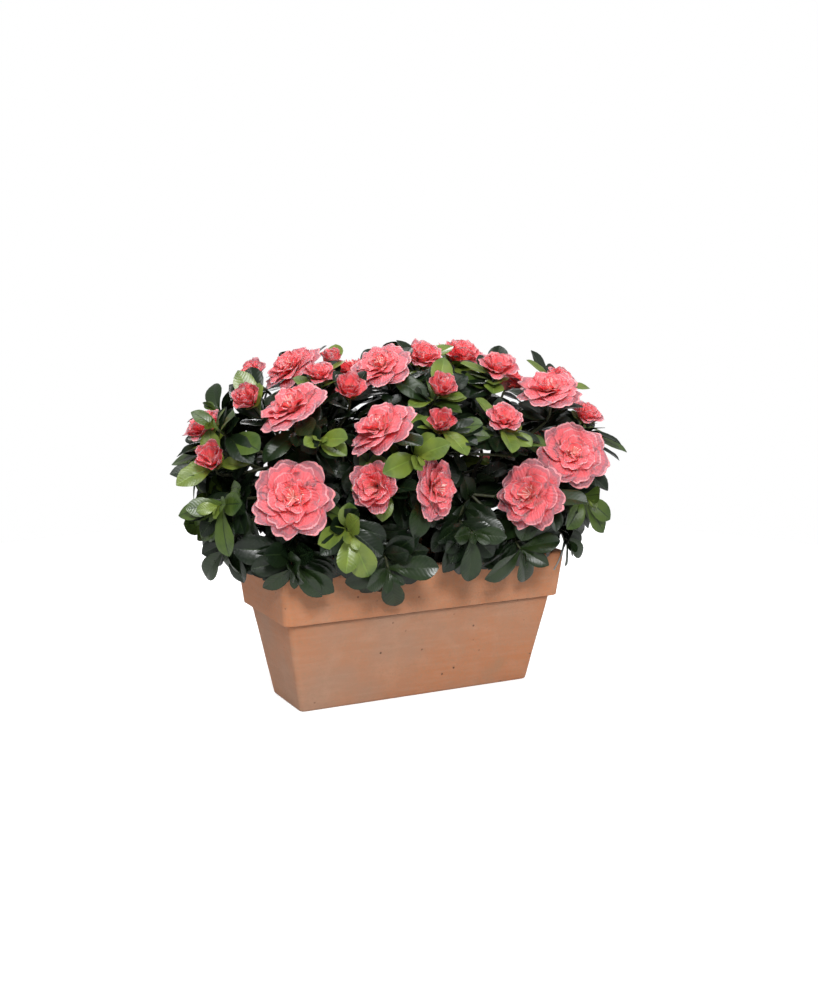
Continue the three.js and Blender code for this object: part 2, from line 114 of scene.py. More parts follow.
class Surface(Nodes):
    """A material on a principled shader, with ways to vary its finish."""

    def __init__(self, name: str, color: Color, roughness: float) -> None:
        """Start a material.

        Args:
            name: Its name.
            color: Its plain linear colour.
            roughness: From 0, polished, to 1, dull.
        """
        self.material = bpy.data.materials.new(name)
        self.material.use_nodes = True
        super().__init__(self.material.node_tree)
        self.shader = self.tree.nodes["Principled BSDF"]
        self.set(Base_Color=(*color, 1), Roughness=roughness)
        coordinates = self.add("ShaderNodeTexCoord")
        self.place = coordinates.outputs["Object"]
        self.flat = coordinates.outputs["UV"]

    def set(self, **values: object) -> None:
        """Set sockets of the shader that are the same all over, by name with underscores."""
        for name, value in values.items():
            self.shader.inputs[name.replace("_", " ")].default_value = value

    def drive(self, name: str, socket: NodeSocket) -> None:
        """Let a pattern give one of the shader's sockets."""
        self.tree.links.new(socket, self.shader.inputs[name])

    def split(self, vector: NodeSocket) -> Sequence[NodeSocket]:
        """Return a vector's X, Y and Z."""
        return self.add("ShaderNodeSeparateXYZ", {"Vector": vector}).outputs[:]

    def stretched(self, scale: Sequence[float]) -> NodeSocket:
        """Return the object's coordinates, scaled along each axis."""
        mapping = self.add("ShaderNodeMapping", {"Vector": self.place, "Scale": tuple(scale)})
        return mapping.outputs["Vector"]

    def noise(self, scale: float, detail: float = 3, where: NodeSocket | None = None) -> NodeSocket:
        """Add a noise.

        Args:
            scale: How fine it is, per metre on the object's coordinates.
            detail: Its octaves.
            where: Coordinates other than the object's own.

        Returns:
            The noise's value.
        """
        inputs = {"Vector": where or self.place, "Scale": scale, "Detail": detail}
        return self.add("ShaderNodeTexNoise", inputs).outputs["Fac"]

    def ramp(self, value: NodeSocket, stops: Sequence[tuple]) -> NodeSocket:
        """Add a colour ramp.

        Args:
            value: What the ramp is read by.
            stops: Position and colour, or position and grey, of each stop.

        Returns:
            The ramp's colour.
        """
        node = self.add("ShaderNodeValToRGB", {"Fac": value})
        elements = node.color_ramp.elements
        while len(elements) < len(stops):
            elements.new(0.5)
        for element, (position, color) in zip(elements, stops):
            element.position = position
            element.color = (*color, 1) if isinstance(color, tuple) else (color, color, color, 1)
        return node.outputs["Color"]

    def math(self, operation: str, *values: object) -> NodeSocket:
        """Add a sum on values or sockets and return its result."""
        inputs = dict(enumerate(values))
        return self.add("ShaderNodeMath", inputs, operation=operation).outputs["Value"]

    def mix(self, factor: object, first: object, second: object) -> NodeSocket:
        """Mix two colours.

        Args:
            factor: The share of the second, a value or a socket.
            first: A linear colour or a socket.
            second: A linear colour or a socket.

        Returns:
            The mixed colour.
        """
        # The mix node's colour sockets share their names with others, so they go by number.
        colors = [(*c, 1) if isinstance(c, tuple) else c for c in (first, second)]
        inputs = {"Factor": factor, 6: colors[0], 7: colors[1]}
        return self.add("ShaderNodeMix", inputs, data_type="RGBA").outputs[2]

    def bump(self, height: NodeSocket, depth_mm: float) -> None:
        """Raise the surface by a height from 0 to 1, at most so many millimetres."""
        inputs = {"Height": height, "Distance": depth_mm * MM, "Strength": 1.0}
        self.drive("Normal", self.add("ShaderNodeBump", inputs).outputs["Normal"])

    def roughen(self, pattern: NodeSocket, least: float, vary: float) -> None:
        """Let a pattern from 0 to 1 raise the roughness from its least by at most so much."""
        self.drive("Roughness", self.math("MULTIPLY_ADD", pattern, vary, least))


@dataclass(frozen=True)
class LeafCloth:
    """Waxed cloth of a leaf: one dye, deeper towards the tip, a web of side veins, a soft gloss.

    Noises are so many to the metre, veins so many to a leaf.
    """

    name: str
    color: Color
    gloss: float = 0.36
    specular: float = 0.4
    gloss_patches: float = 45
    gloss_below: float = 0.12
    gloss_vary: float = 0.3
    at_foot: Color = (1.2, 1.14, 0.9)
    at_tip: Color = (0.42, 0.54, 0.6)
    clouds: float = 75
    cloudy: tuple[float, float] = (1.1, -0.3)
    length_share: float = 0.5
    veins: float = 6.0
    vein_slant: float = 0.42
    vein_share: float = 0.45
    vein_depth_mm: float = 0.14
    crumples: float = 150
    crumple_share: float = 1.4

    def tinted(self, shares: Color) -> Color:
        """Return the dye, each channel multiplied by its share."""
        return tuple(channel * share for channel, share in zip(self.color, shares))

    def material(self) -> Material:
        """Build the finish.

        Returns:
            The material.
        """
        surface = Surface(self.name, self.color, self.gloss)
        surface.set(Specular_IOR_Level=self.specular)
        along, across, _ = surface.split(surface.flat)
        clouds = surface.math("MULTIPLY_ADD", surface.noise(self.clouds, 2), *self.cloudy)
        depth = surface.math("MULTIPLY_ADD", along, self.length_share, clouds)
        foot, tip = self.tinted(self.at_foot), self.tinted(self.at_tip)
        stops = [(0.15, foot), (0.5, self.color), (0.9, tip)]
        surface.drive("Base Color", surface.ramp(depth, stops))
        aside = surface.math("ABSOLUTE", surface.math("SUBTRACT", across, 0.5))
        slanted = surface.math("SUBTRACT", along, surface.math("MULTIPLY", aside, self.vein_slant))
        wave = surface.math("SINE", surface.math("MULTIPLY", slanted, self.veins * math.tau))
        web = surface.math("MULTIPLY", surface.math("ABSOLUTE", wave), self.vein_share)
        crumples = surface.math("MULTIPLY", surface.noise(self.crumples), self.crumple_share)
        surface.bump(surface.math("ADD", web, crumples), self.vein_depth_mm)
        patches = surface.noise(self.gloss_patches, 2)
        surface.roughen(patches, self.gloss - self.gloss_below, self.gloss_vary)
        return surface.material


@dataclass(frozen=True)
class PetalCloth:
    """Thin dyed cloth of a petal: one colour, fine pleats and a weave that takes the light."""

    name: str
    color: Color
    roughness: float = 0.75
    roughened: tuple[float, float] = (0.62, 0.2)
    specular: float = 0.2
    glow: float = 0.8
    glow_depth: float = 0.006
    glow_colors: Color = (1.0, 0.4, 0.36)
    pleats: float = 9.0
    pleat_share: float = 0.4
    pleat_depth_mm: float = 0.42
    wander: float = 5.0
    wanders: float = 160
    weave: float = 700

    def material(self) -> Material:
        """Build the finish.

        Returns:
            The material.
        """
        surface = Surface(self.name, self.color, self.roughness)
        surface.set(Specular_IOR_Level=self.specular, Subsurface_Weight=self.glow)
        surface.set(Subsurface_Scale=self.glow_depth, Subsurface_Radius=self.glow_colors)
        across = surface.split(surface.flat)[1]
        wander = surface.math("MULTIPLY", surface.noise(self.wanders), self.wander)
        turn = surface.math("MULTIPLY", across, self.pleats * math.tau)
        wave = surface.math("SINE", surface.math("ADD", turn, wander))
        weave = surface.noise(self.weave, 2)
        middle = surface.math("ADD", weave, self.pleat_share)
        pleats = surface.math("MULTIPLY_ADD", wave, self.pleat_share, middle)
        surface.bump(pleats, self.pleat_depth_mm)
        surface.roughen(weave, *self.roughened)
        return surface.material


@dataclass(frozen=True)
class StemCover:
    """Plastic-covered wire or tape: brown-green, with drawn-out ridges."""

    name: str
    color: Color
    light: Color
    ridges: tuple[float, float, float] = (420, 420, 90)
    ridge_depth_mm: float = 0.5
    roughness: float = 0.6
    roughened: tuple[float, float] = (0.4, 0.3)

    def material(self) -> Material:
        """Build the finish.

        Returns:
            The material.
        """
        surface = Surface(self.name, self.color, self.roughness)
        ridges = surface.noise(1, 4, surface.stretched(self.ridges))
        surface.drive("Base Color", surface.ramp(ridges, [(0.35, self.color), (0.7, self.light)]))
        surface.bump(ridges, self.ridge_depth_mm)
        surface.roughen(ridges, *self.roughened)
        return surface.material


@dataclass(frozen=True)
class Filament:
    """The smooth pale threads in a bloom's heart."""

    name: str
    color: Color
    roughness: float = 0.5
    fibres: float = 900
    fibre_depth_mm: float = 0.1

    def material(self) -> Material:
        """Build the finish.

        Returns:
            The material.
        """
        surface = Surface(self.name, self.color, self.roughness)
        surface.bump(surface.noise(self.fibres, 2), self.fibre_depth_mm)
        return surface.material


@dataclass(frozen=True)
class Terracotta:
    """Unglazed fired clay: warm and cool patches, wiped streaks, pale bloom, and pinholes darkened
    with painted shade.

    Patches, streaks and the like are so many to the metre, each with its octaves where it has
    two numbers.
    """

    name: str = "terracotta"
    clay: Color = linear(160, 112, 83)
    warm: Color = linear(167, 108, 72)
    cool: Color = linear(152, 115, 92)
    bloom: Color = linear(174, 137, 113)
    smoke: Color = linear(140, 115, 90)
    pinhole_shade: Color = linear(80, 50, 36)
    band: Color = linear(174, 110, 70)
    band_foot: float = 0.087
    band_share: float = 0.6
    patches: tuple[float, float] = (13, 3)
    streaks: tuple[float, float, float] = (34, 34, 260)
    dust: tuple[float, float] = (48, 6)
    stains: tuple[float, float] = (17, 2)
    pinholes: float = 75
    pinhole_places: tuple[float, float] = (31, 1)
    pinhole_depth: float = 1.5
    grain: tuple[float, float] = (420, 5)
    relief_mm: float = 0.35
    roughness: float = 0.85
    roughened: tuple[float, float] = (0.78, 0.15)

    def material(self) -> Material:
        """Build the finish.

        Returns:
            The material.
        """
        surface = Surface(self.name, self.clay, self.roughness)
        patches = surface.noise(*self.patches)
        base = surface.ramp(patches, [(0.34, self.cool), (0.5, self.clay), (0.68, self.warm)])
        above = surface.math("GREATER_THAN", surface.split(surface.place)[2], self.band_foot)
        banded = surface.mix(surface.math("MULTIPLY", above, self.band_share), base, self.band)
        wiped = surface.noise(1, 5, surface.stretched(self.streaks))
        dusted = surface.ramp(surface.noise(*self.dust), [(0.5, 0.0), (0.8, 0.4)])
        stained = surface.ramp(surface.noise(*self.stains), [(0.66, 0.0), (0.8, 0.75)])
        grain = surface.noise(*self.grain)
        # Pinholes are sunk in the relief and darkened with painted shade in their pits.
        spread = {"Vector": surface.place, "Scale": self.pinholes}
        cells = surface.add("ShaderNodeTexVoronoi", spread)
        holes = surface.ramp(cells.outputs["Distance"], [(0.05, 1.0), (0.1, 0.0)])
        gate = surface.ramp(surface.noise(*self.pinhole_places), [(0.49, 0.0), (0.57, 1.0)])
        pins = surface.math("MULTIPLY", holes, gate)
        color = banded
        for share, dye in (
            (surface.ramp(wiped, [(0.45, 0.0), (0.85, 0.3)]), self.bloom),
            (dusted, self.bloom),
            (stained, self.smoke),
            (surface.ramp(grain, [(0.36, 0.35), (0.5, 0.0)]), self.smoke),
            (pins, self.pinhole_shade),
        ):
            color = surface.mix(share, color, dye)
        surface.drive("Base Color", color)
        relief = surface.math("MULTIPLY_ADD", wiped, 0.5, grain)
        sunk = surface.math("MULTIPLY", pins, self.pinhole_depth)
        surface.bump(surface.math("SUBTRACT", relief, sunk), self.relief_mm)
        surface.roughen(dusted, *self.roughened)
        return surface.material


# The inside wall under the rim is dark clay: partly peat stain, partly painted shade inside the
# trough.
PEAT_STAIN_AND_SHADE = Terracotta(
    "terracotta_inside", linear(70, 54, 42), linear(78, 56, 40), linear(58, 50, 42),
    linear(92, 76, 62), linear(44, 38, 32), linear(34, 28, 24), linear(66, 50, 38),
)


@dataclass(frozen=True)
class Granules:
    """Dark loose granules over foam."""

    name: str = "granules"
    dark: Color = linear(26, 23, 20)
    light: Color = linear(62, 54, 46)
    roughness: float = 0.95
    mottles: float = 260
    mottle_depth_mm: float = 1.2

    def material(self) -> Material:
        """Build the finish.

        Returns:
            The material.
        """
        surface = Surface(self.name, self.dark, self.roughness)
        mottle = surface.noise(self.mottles, 5)
        surface.drive("Base Color", surface.ramp(mottle, [(0.4, self.dark), (0.75, self.light)]))
        surface.bump(mottle, self.mottle_depth_mm)
        return surface.material


@dataclass(frozen=True)
class Paper:
    """The pale floor, hardly mottled, which shows white and lights the leaves little."""

    name: str = "pale_floor"
    color: Color = (0.7, 0.7, 0.7)
    glow: float = 0.5
    mottles: float = 40
    roughness: float = 0.9
    roughened: tuple[float, float] = (0.85, 0.1)

    def material(self) -> Material:
        """Build the finish.

        Returns:
            The material.
        """
        surface = Surface(self.name, self.color, self.roughness)
        surface.set(Emission_Color=(1, 1, 1, 1))
        seen = surface.add("ShaderNodeLightPath").outputs["Is Camera Ray"]
        surface.drive("Emission Strength", surface.math("MULTIPLY", seen, self.glow))
        surface.roughen(surface.noise(self.mottles, 2), *self.roughened)
        return surface.material


class Tone(IntEnum):
    """The dyes that leaves come in; DEEP and DARK also serve as painted shade on leaves inside the
    crown and low under the blooms.
    """

    DEEP = 0
    DARK = 1
    GREEN = 2
    LIGHT = 3
    YOUNG = 4
    RIB = 5
    PALE_RIB = 6


LEAF_CLOTHS = {
    Tone.DEEP: LeafCloth("leaf_deep", linear(19, 31, 16), 0.29, 0.34),
    Tone.DARK: LeafCloth("leaf_dark", linear(29, 44, 20), 0.29, 0.38),
    Tone.GREEN: LeafCloth("leaf_green", linear(64, 82, 33), 0.3, 0.42),
    Tone.LIGHT: LeafCloth("leaf_light", linear(95, 111, 44), 0.3, 0.45),
    Tone.YOUNG: LeafCloth("leaf_young", linear(106, 120, 48), 0.34, 0.38),
    Tone.RIB: LeafCloth("leaf_rib", linear(33, 48, 24), 0.34),
    Tone.PALE_RIB: LeafCloth("leaf_pale_rib", linear(108, 128, 52), 0.36),
}


LEAF_ASPECTS = {
    Tone.DEEP: 0.49, Tone.DARK: 0.49, Tone.GREEN: 0.52, Tone.LIGHT: 0.56, Tone.YOUNG: 0.52,
}


class Zone(IntEnum):
    """The dyed zones of a petal, from the heart of its bloom to its rim."""

    HEART = 0
    CORAL = 1
    PINK = 2
    BLUSH = 3
    PALE = 4
    RIM = 5


PETAL_CLOTHS = {
    Zone.HEART: PetalCloth("petal_heart", linear(255, 140, 134)),
    Zone.CORAL: PetalCloth("petal_coral", linear(255, 121, 126)),
    Zone.PINK: PetalCloth("petal_pink", linear(226, 110, 117)),
    Zone.BLUSH: PetalCloth("petal_blush", linear(194, 109, 117)),
    Zone.PALE: PetalCloth("petal_pale", linear(168, 110, 118)),
    Zone.RIM: PetalCloth("petal_rim", linear(222, 148, 152)),
}


@dataclass
class Patchwork:
    """Gathers grids and tubes into one mesh."""

    points: list[Array] = field(default_factory=list)
    faces: list[list[int]] = field(default_factory=list)
    zones: list[int] = field(default_factory=list)
    flats: list[Array] = field(default_factory=list)
    count: int = 0

    def grid(self, rows: Array, zones: Array | int = 0, closed: bool = False) -> None:
        """Add a grid of faces.

        Args:
            rows: Points by row and column.
            zones: A zone for every face, or one for all.
            closed: Whether the last column joins the first, and one face closes each end.
        """
        height, width = rows.shape[:2]
        start = self.count
        index = start + np.arange(height * width).reshape(height, width)
        right = np.roll(index, -1, axis=1)
        last = width if closed else width - 1
        quads = np.stack([index[:-1], right[:-1], right[1:], index[1:]], axis=-1)[:, :last]
        self.faces.extend(quads.reshape(-1, 4).tolist())
        each = np.broadcast_to(zones, quads.shape[:2]).reshape(-1)
        self.zones.extend(int(zone) for zone in each)
        if closed:
            self.faces.append(index[0][::-1].tolist())
            self.faces.append(index[-1].tolist())
            self.zones.extend([int(each[0]), int(each[-1])])
        along, across = np.meshgrid(
            np.linspace(0, 1, height), np.linspace(0, 1, width), indexing="ij"
        )
        self.flats.append(np.stack([along, across], axis=-1).reshape(-1, 2))
        self.points.append(rows.reshape(-1, 3))
        self.count += height * width

    def tube(self, path: Array, radii: Array, sides: int) -> None:
        """Add a closed tube.

        Args:
            path: The points of its middle line.
            radii: Its radius at each of them.
            sides: Faces round it.
        """
        ways = unit(np.gradient(path, axis=0))
        upright = abs(ways[0][2]) > 0.9
        reference = np.array([1.0, 0, 0]) if upright else np.array([0, 0, 1.0])
        across = unit(np.cross(ways, reference))
        over = np.cross(across, ways)
        turns = np.linspace(0, math.tau, sides, endpoint=False)
        ring = np.cos(turns)[:, None, None] * across + np.sin(turns)[:, None, None] * over
        rows = path[:, None] + ring.transpose(1, 0, 2) * np.asarray(radii)[:, None, None]
        self.grid(rows[:, ::-1], closed=True)

    def mesh(self, name: str, scale: float = 1.0) -> Mesh:
        """Build the mesh.

        Args:
            name: The mesh's name.
            scale: From the patchwork's unit to metres.

        Returns:
            A smooth mesh with a flat map and a zone for each face.
        """
        mesh = bpy.data.meshes.new(name)
        points = np.concatenate(self.points) * scale
        mesh.from_pydata(points.tolist(), [], self.faces)
        mesh.shade_smooth()
        flats = np.concatenate(self.flats)
        corners = np.empty(len(mesh.loops), dtype=np.int32)
        mesh.loops.foreach_get("vertex_index", corners)
        layer = mesh.uv_layers.new(name="flat")
        layer.data.foreach_set("uv", flats[corners].astype(np.float32).ravel())
        zones = mesh.attributes.new("zone", "INT", "FACE")
        zones.data.foreach_set("value", np.array(self.zones, dtype=np.int32))
        return mesh


def show(name: str, data: ID) -> Object:
    """Put a mesh, a curve, a light or a camera in the scene, at the origin.

    Args:
        name: The object's name.
        data: What it holds.

    Returns:
        The object.
    """
    piece = bpy.data.objects.new(name, data)
    bpy.context.scene.collection.objects.link(piece)
    return piece


def drop_empty_finishes(mesh: Mesh) -> None:
    """Take away the slots of a mesh that hold no material, which numbers its faces' anew."""
    while None in mesh.materials[:]:
        mesh.materials.pop(index=mesh.materials[:].index(None))


class PieceTree(Nodes):
    """A Geometry Nodes tree with named inputs, which turns points or lines into a plain piece."""

    def __init__(self, name: str, inputs: dict[str, str]) -> None:
        """Start the tree.

        Args:
            name: The tree's name.
            inputs: What kind each input is, by its name, and the carrier's shape first.
        """
        super().__init__(bpy.data.node_groups.new(name, "GeometryNodeTree"))
        face = self.tree.interface
        self.sockets: dict[str, str] = {}
        for label, kind in inputs.items():
            declared = face.new_socket(label, in_out="INPUT", socket_type="NodeSocket" + kind)
            self.sockets[label] = declared.identifier
        face.new_socket("Piece", in_out="OUTPUT", socket_type="NodeSocketGeometry")
        self.source = self.add("NodeGroupInput").outputs

    def piece(self, name: str, carrier: Object, values: dict[str, object]) -> Object:
        """Run the tree on a carrier and keep what comes out as a plain mesh object.

        Args:
            name: The piece's name.
            carrier: The object with the points or lines, which is taken away.
            values: The inputs' values, by name.

        Returns:
            The piece.
        """
        modifier = carrier.modifiers.new(self.tree.name, "NODES")
        modifier.node_group = self.tree
        for label, value in values.items():
            modifier[self.sockets[label]] = value
        depsgraph = bpy.context.evaluated_depsgraph_get()
        mesh = bpy.data.meshes.new_from_object(
            carrier.evaluated_get(depsgraph), preserve_all_data_layers=True, depsgraph=depsgraph
        )
        bpy.data.objects.remove(carrier)
        mesh.name = name
        drop_empty_finishes(mesh)
        return show(name, mesh)


class Scatter(PieceTree):
    """Sets templates on points, each with its own turn and size."""

    def __init__(self, name: str, materials: Sequence[Material]) -> None:
        """Build the tree, with one material input for each zone of the templates.

        Args:
            name: The tree's name.
            materials: The material of each zone, in order.
        """
        self.finishes = {f"Finish {zone}": found for zone, found in enumerate(materials)}
        inputs = {
            "Points": "Geometry", "Templates": "Collection", "Size": "Float",
            "Size Jitter": "Float", "Seed": "Int",
        }
        super().__init__(name, inputs | dict.fromkeys(self.finishes, "Material"))
        source = self.source
        chosen = {"Collection": source["Templates"], "Separate Children": True}
        templates = self.add("GeometryNodeCollectionInfo", chosen | {"Reset Children": True})
        least = self.add("ShaderNodeMath", {0: 1.0, 1: source["Size Jitter"]}, operation="SUBTRACT")
        between = {2: least.outputs[0], 3: 1.0, "Seed": source["Seed"]}
        jitter = self.add("FunctionNodeRandomValue", between, data_type="FLOAT")
        sizes = {0: source["Size"], 1: jitter.outputs[1]}
        size = self.add("ShaderNodeMath", sizes, operation="MULTIPLY")
        stretches = {0: self._attribute("stretch", "FLOAT_VECTOR"), "Scale": size.outputs[0]}
        stretch = self.add("ShaderNodeVectorMath", stretches, operation="SCALE")
        placed = self.add("GeometryNodeInstanceOnPoints", {
            "Points": source["Points"],
            "Instance": templates.outputs[0],
            "Pick Instance": True,
            "Instance Index": self._attribute("variant", "INT"),
            "Rotation": self._attribute("turn", "QUATERNION"),
            "Scale": stretch.outputs[0],
        })
        last = self.add("GeometryNodeRealizeInstances", {"Geometry": placed.outputs[0]})
        for zone, label in enumerate(self.finishes):
            compared = {2: self._attribute("zone", "INT"), 3: zone}
            in_zone = self.add("FunctionNodeCompare", compared, data_type="INT", operation="EQUAL")
            dressed = {"Selection": in_zone.outputs[0], "Material": source[label]}
            last = self.add("GeometryNodeSetMaterial", {"Geometry": last.outputs[0]} | dressed)
        self.add("NodeGroupOutput", {0: last.outputs[0]})

    def _attribute(self, name: str, kind: str) -> NodeSocket:
        """Read a point's attribute."""
        node = self.add("GeometryNodeInputNamedAttribute", {"Name": name}, data_type=kind)
        return node.outputs["Attribute"]

    def grow(
        self,
        name: str,
        spots: Sequence[Spot],
        templates: Collection,
        jitter: float = 0.0,
        seed: int = 1,
    ) -> Object:
        """Set the templates on the spots.

        Args:
            name: The piece's name.
            spots: Where the templates go.
            templates: The collection of templates, picked by each spot's variant.
            jitter: The share by which a size may be less, at random.
            seed: What the random sizes start from.

        Returns:
            A plain mesh object.
        """
        mesh = bpy.data.meshes.new(name + "_points")
        mesh.from_pydata([tuple(spot.place * MM) for spot in spots], [], [])
        for label, kind, key, values in (
            ("turn", "QUATERNION", "value", [spot.quaternion() for spot in spots]),
            ("stretch", "FLOAT_VECTOR", "vector", [spot.stretch * MM for spot in spots]),
            ("variant", "INT", "value", [spot.variant for spot in spots]),
        ):
            attribute = mesh.attributes.new(label, kind, "POINT")
            dtype = np.int32 if kind == "INT" else np.float32
            attribute.data.foreach_set(key, np.array(values, dtype=dtype).ravel())
        inputs = {"Templates": templates, "Size": 1.0, "Size Jitter": jitter, "Seed": seed}
        return self.piece(name, show(name + "_points", mesh), inputs | self.finishes)


@dataclass
class Spot:
    """A place, turn and size for a template, in millimetres."""

    place: Array
    axes: Array
    stretch: Array
    variant: int = 0

    def quaternion(self) -> tuple[float, float, float, float]:
        """Return the turn that takes the template's axes to the spot's."""
        return tuple(Matrix(self.axes.tolist()).transposed().to_quaternion())


def template_set(name: str, meshes: Sequence[Mesh]) -> Collection:
    """Gather meshes as the templates of a scatter, outside the scene.

    Args:
        name: The collection's name.
        meshes: The templates, in the order of their variants.

    Returns:
        The collection.
    """
    collection = bpy.data.collections.new(name)
    for number, mesh in enumerate(meshes):
        collection.objects.link(bpy.data.objects.new(f"{name}_{number:02d}", mesh))
    return collection


class Bend:
    """A limb's line from start to end, drawn towards one control point."""

    STEP = 1e-4

    def __init__(self, start: Array, control: Array, end: Array) -> None:
        """Keep the three points."""
        self.start, self.control, self.end = start, control, end

    def at(self, shares: Array | float) -> Array:
        """Return the points at shares of the way."""
        t = np.asarray(shares, dtype=float)[..., None]
        return (1 - t) ** 2 * self.start + 2 * t * (1 - t) * self.control + t**2 * self.end

    def way(self, share: float) -> Array:
        """Return the direction at a share of the way."""
        before, after = self.at(max(share - self.STEP, 0)), self.at(min(share + self.STEP, 1))
        return unit(after - before)


class Through:
    """A twig's line through three points, turning smoothly at the middle one."""

    def __init__(self, start: Array, knee: Array, end: Array) -> None:
        """Keep the points, with one more beyond each end."""
        self.knots = [2 * start - knee, start, knee, end, 2 * end - knee]

    def at(self, shares: Array | float) -> Array:
        """Return the points at shares of the way."""
        found = np.array([self._point(min(max(t, 0.0), 1.0)) for t in np.atleast_1d(shares)])
        return found if np.ndim(shares) else found[0]

    def _point(self, share: float) -> Array:
        """Find one point, by the centripetal rule.

        Args:
            share: How much of the way it is along.

        Returns:
            The point.
        """
        first = min(int(share * 2), 1)
        t = share * 2 - first
        a, b, c, d = self.knots[first : first + 4]
        gaps = [max(np.linalg.norm(q - p) ** 0.5, 1e-4) for p, q in ((a, b), (b, c), (c, d))]
        g0, g1, g2 = gaps
        leave = ((b - a) / g0 - (c - a) / (g0 + g1) + (c - b) / g1) * g1
        arrive = ((c - b) / g1 - (d - b) / (g1 + g2) + (d - c) / g2) * g1
        squared = -3 * b + 3 * c - 2 * leave - arrive
        cubed = 2 * b - 2 * c + leave + arrive
        return b + leave * t + squared * t**2 + cubed * t**3


class SeededStream:
    """The part's repeatable stream of numbers from 0 to 1."""

    def __init__(self, seed: int) -> None:
        """Start the stream."""
        self.state = seed

    def __call__(self) -> float:
        """Return the next number."""
        self.state = (self.state * 1664525 + 1013904223) % 2**32
        return self.state / 2**32


class Kind(Enum):
    """What a shoot carries."""

    OPEN = "open"
    HALF = "half"
    BUD = "bud"
    LEAFY = "leafy"


OPEN, HALF, BUD, LEAFY = Kind

Whorl = tuple[int, float, float, float]


@dataclass(frozen=True)
class ShootRule:
    """How a kind of shoot grows.

    A whorl has a count of leaves, its distance behind the bloom, its pitch from the shoot's
    axis in degrees, and its leaves' length.
    """

    room: float
    depth: float
    whorls: tuple[Whorl, ...]
    finer: tuple[Whorl, ...]
    tones: tuple[Tone, ...]


# Each kind's last tone, on its whorl farthest back, is DEEP: painted shade inside the crown.
SHOOT_RULES = {
    OPEN: ShootRule(
        30, 0.5, ((5, 3, 80, 48), (3, 14, 76, 52)), ((4, 24, 84, 46), (4, 34, 80, 44)),
        (Tone.DARK, Tone.DARK, Tone.DEEP, Tone.DEEP),
    ),
    HALF: ShootRule(
        20, 0.8, ((5, 2, 62, 38), (3, 14, 80, 50)), ((4, 7, 78, 36), (4, 25, 84, 46)),
        (Tone.LIGHT, Tone.GREEN, Tone.LIGHT, Tone.DEEP),
    ),
    BUD: ShootRule(
        15, 1.0, ((5, 2, 58, 36), (3, 14, 82, 48)), ((4, 7, 76, 34), (4, 25, 84, 46)),
        (Tone.LIGHT, Tone.GREEN, Tone.LIGHT, Tone.DEEP),
    ),
    LEAFY: ShootRule(
        17, 0.0, ((5, 1, 64, 44), (4, 16, 86, 52)),
        ((3, -4, 30, 19), (4, 9, 76, 44), (4, 27, 84, 46)),
        (Tone.DARK, Tone.DARK, Tone.GREEN, Tone.DARK, Tone.DEEP),
    ),
}
# SHADED gives the low front shoots under the blooms the darkest dyes: painted shade.
FRESH = (Tone.LIGHT, Tone.LIGHT, Tone.YOUNG, Tone.LIGHT, Tone.GREEN)
MIXED = (Tone.GREEN, Tone.GREEN, Tone.LIGHT, Tone.GREEN, Tone.DARK)
SHADED = (Tone.DARK, Tone.DEEP, Tone.DARK, Tone.DEEP, Tone.DEEP)
SHOOT_TONES = {
    25: FRESH, 28: FRESH, 29: FRESH, 26: MIXED, 27: MIXED, 30: MIXED, 33: MIXED,
    31: SHADED, 32: SHADED, 34: SHADED, 35: SHADED, 36: SHADED, 37: SHADED, 53: MIXED, 58: MIXED,
}
# The whorls on hubs, twigs and boughs inside the crown take DEEP: painted shade.
HUB_WHORL: Whorl = (3, 5, 74, 46)
FINER_HUB: tuple[Whorl, ...] = ((4, -12, 60, 44), (4, 18, 80, 46), (4, 30, 96, 44))
INNER_WHORL: Whorl = (4, 0, 66, 44)
INNER_ON_TWIG = (0.12, 0.26, 0.4, 0.54, 0.68)
INNER_ON_BOUGH = (0.2, 0.35, 0.5, 0.65, 0.8, 0.95)


@dataclass
class Shoot:
    """A shoot: the end of a twig, what it carries and where that looks."""

    kind: Kind
    size: float
    facing: Array
    out: Array
    tip: Array
    depth: float = 0.0
    twig: Through | None = None
    tones: tuple[Tone, ...] = ()

    @property
    def room(self) -> float:
        """Return the room that the shoot keeps to itself."""
        return max(SHOOT_RULES[self.kind].room, self.size / 2)


@dataclass
class Mass:
    """A mass of foliage: its shoots, its own stem and its bough."""

    name: str
    heart: Array
    shoots: list[Shoot] = field(default_factory=list)
    hub: Array | None = None
    bough: Bend | None = None
    curve: Bend | None = None


@dataclass
class Stem:
    """A short stem and the masses that it carries."""

    name: str
    curve: Bend
    masses: list[Mass] = field(default_factory=list)


@dataclass
class Leaf:
    """A leaf's root, its axes, its length and half its width."""

    root: Array
    way: Array
    upper: Array
    across: Array
    length: float
    half: float
    tone: Tone
    places: Array | None = None


def direction(bearing: float, rise: float) -> Array:
    """Turn a bearing and a rise into a way.

    Args:
        bearing: Degrees from the front, to the right.
        rise: Degrees above the level.

    Returns:
        The way, of length one.
    """
    turn, lift = math.radians(bearing), math.radians(rise)
    level = math.cos(lift)
    return np.array([level * math.sin(turn), -level * math.cos(turn), math.sin(lift)])


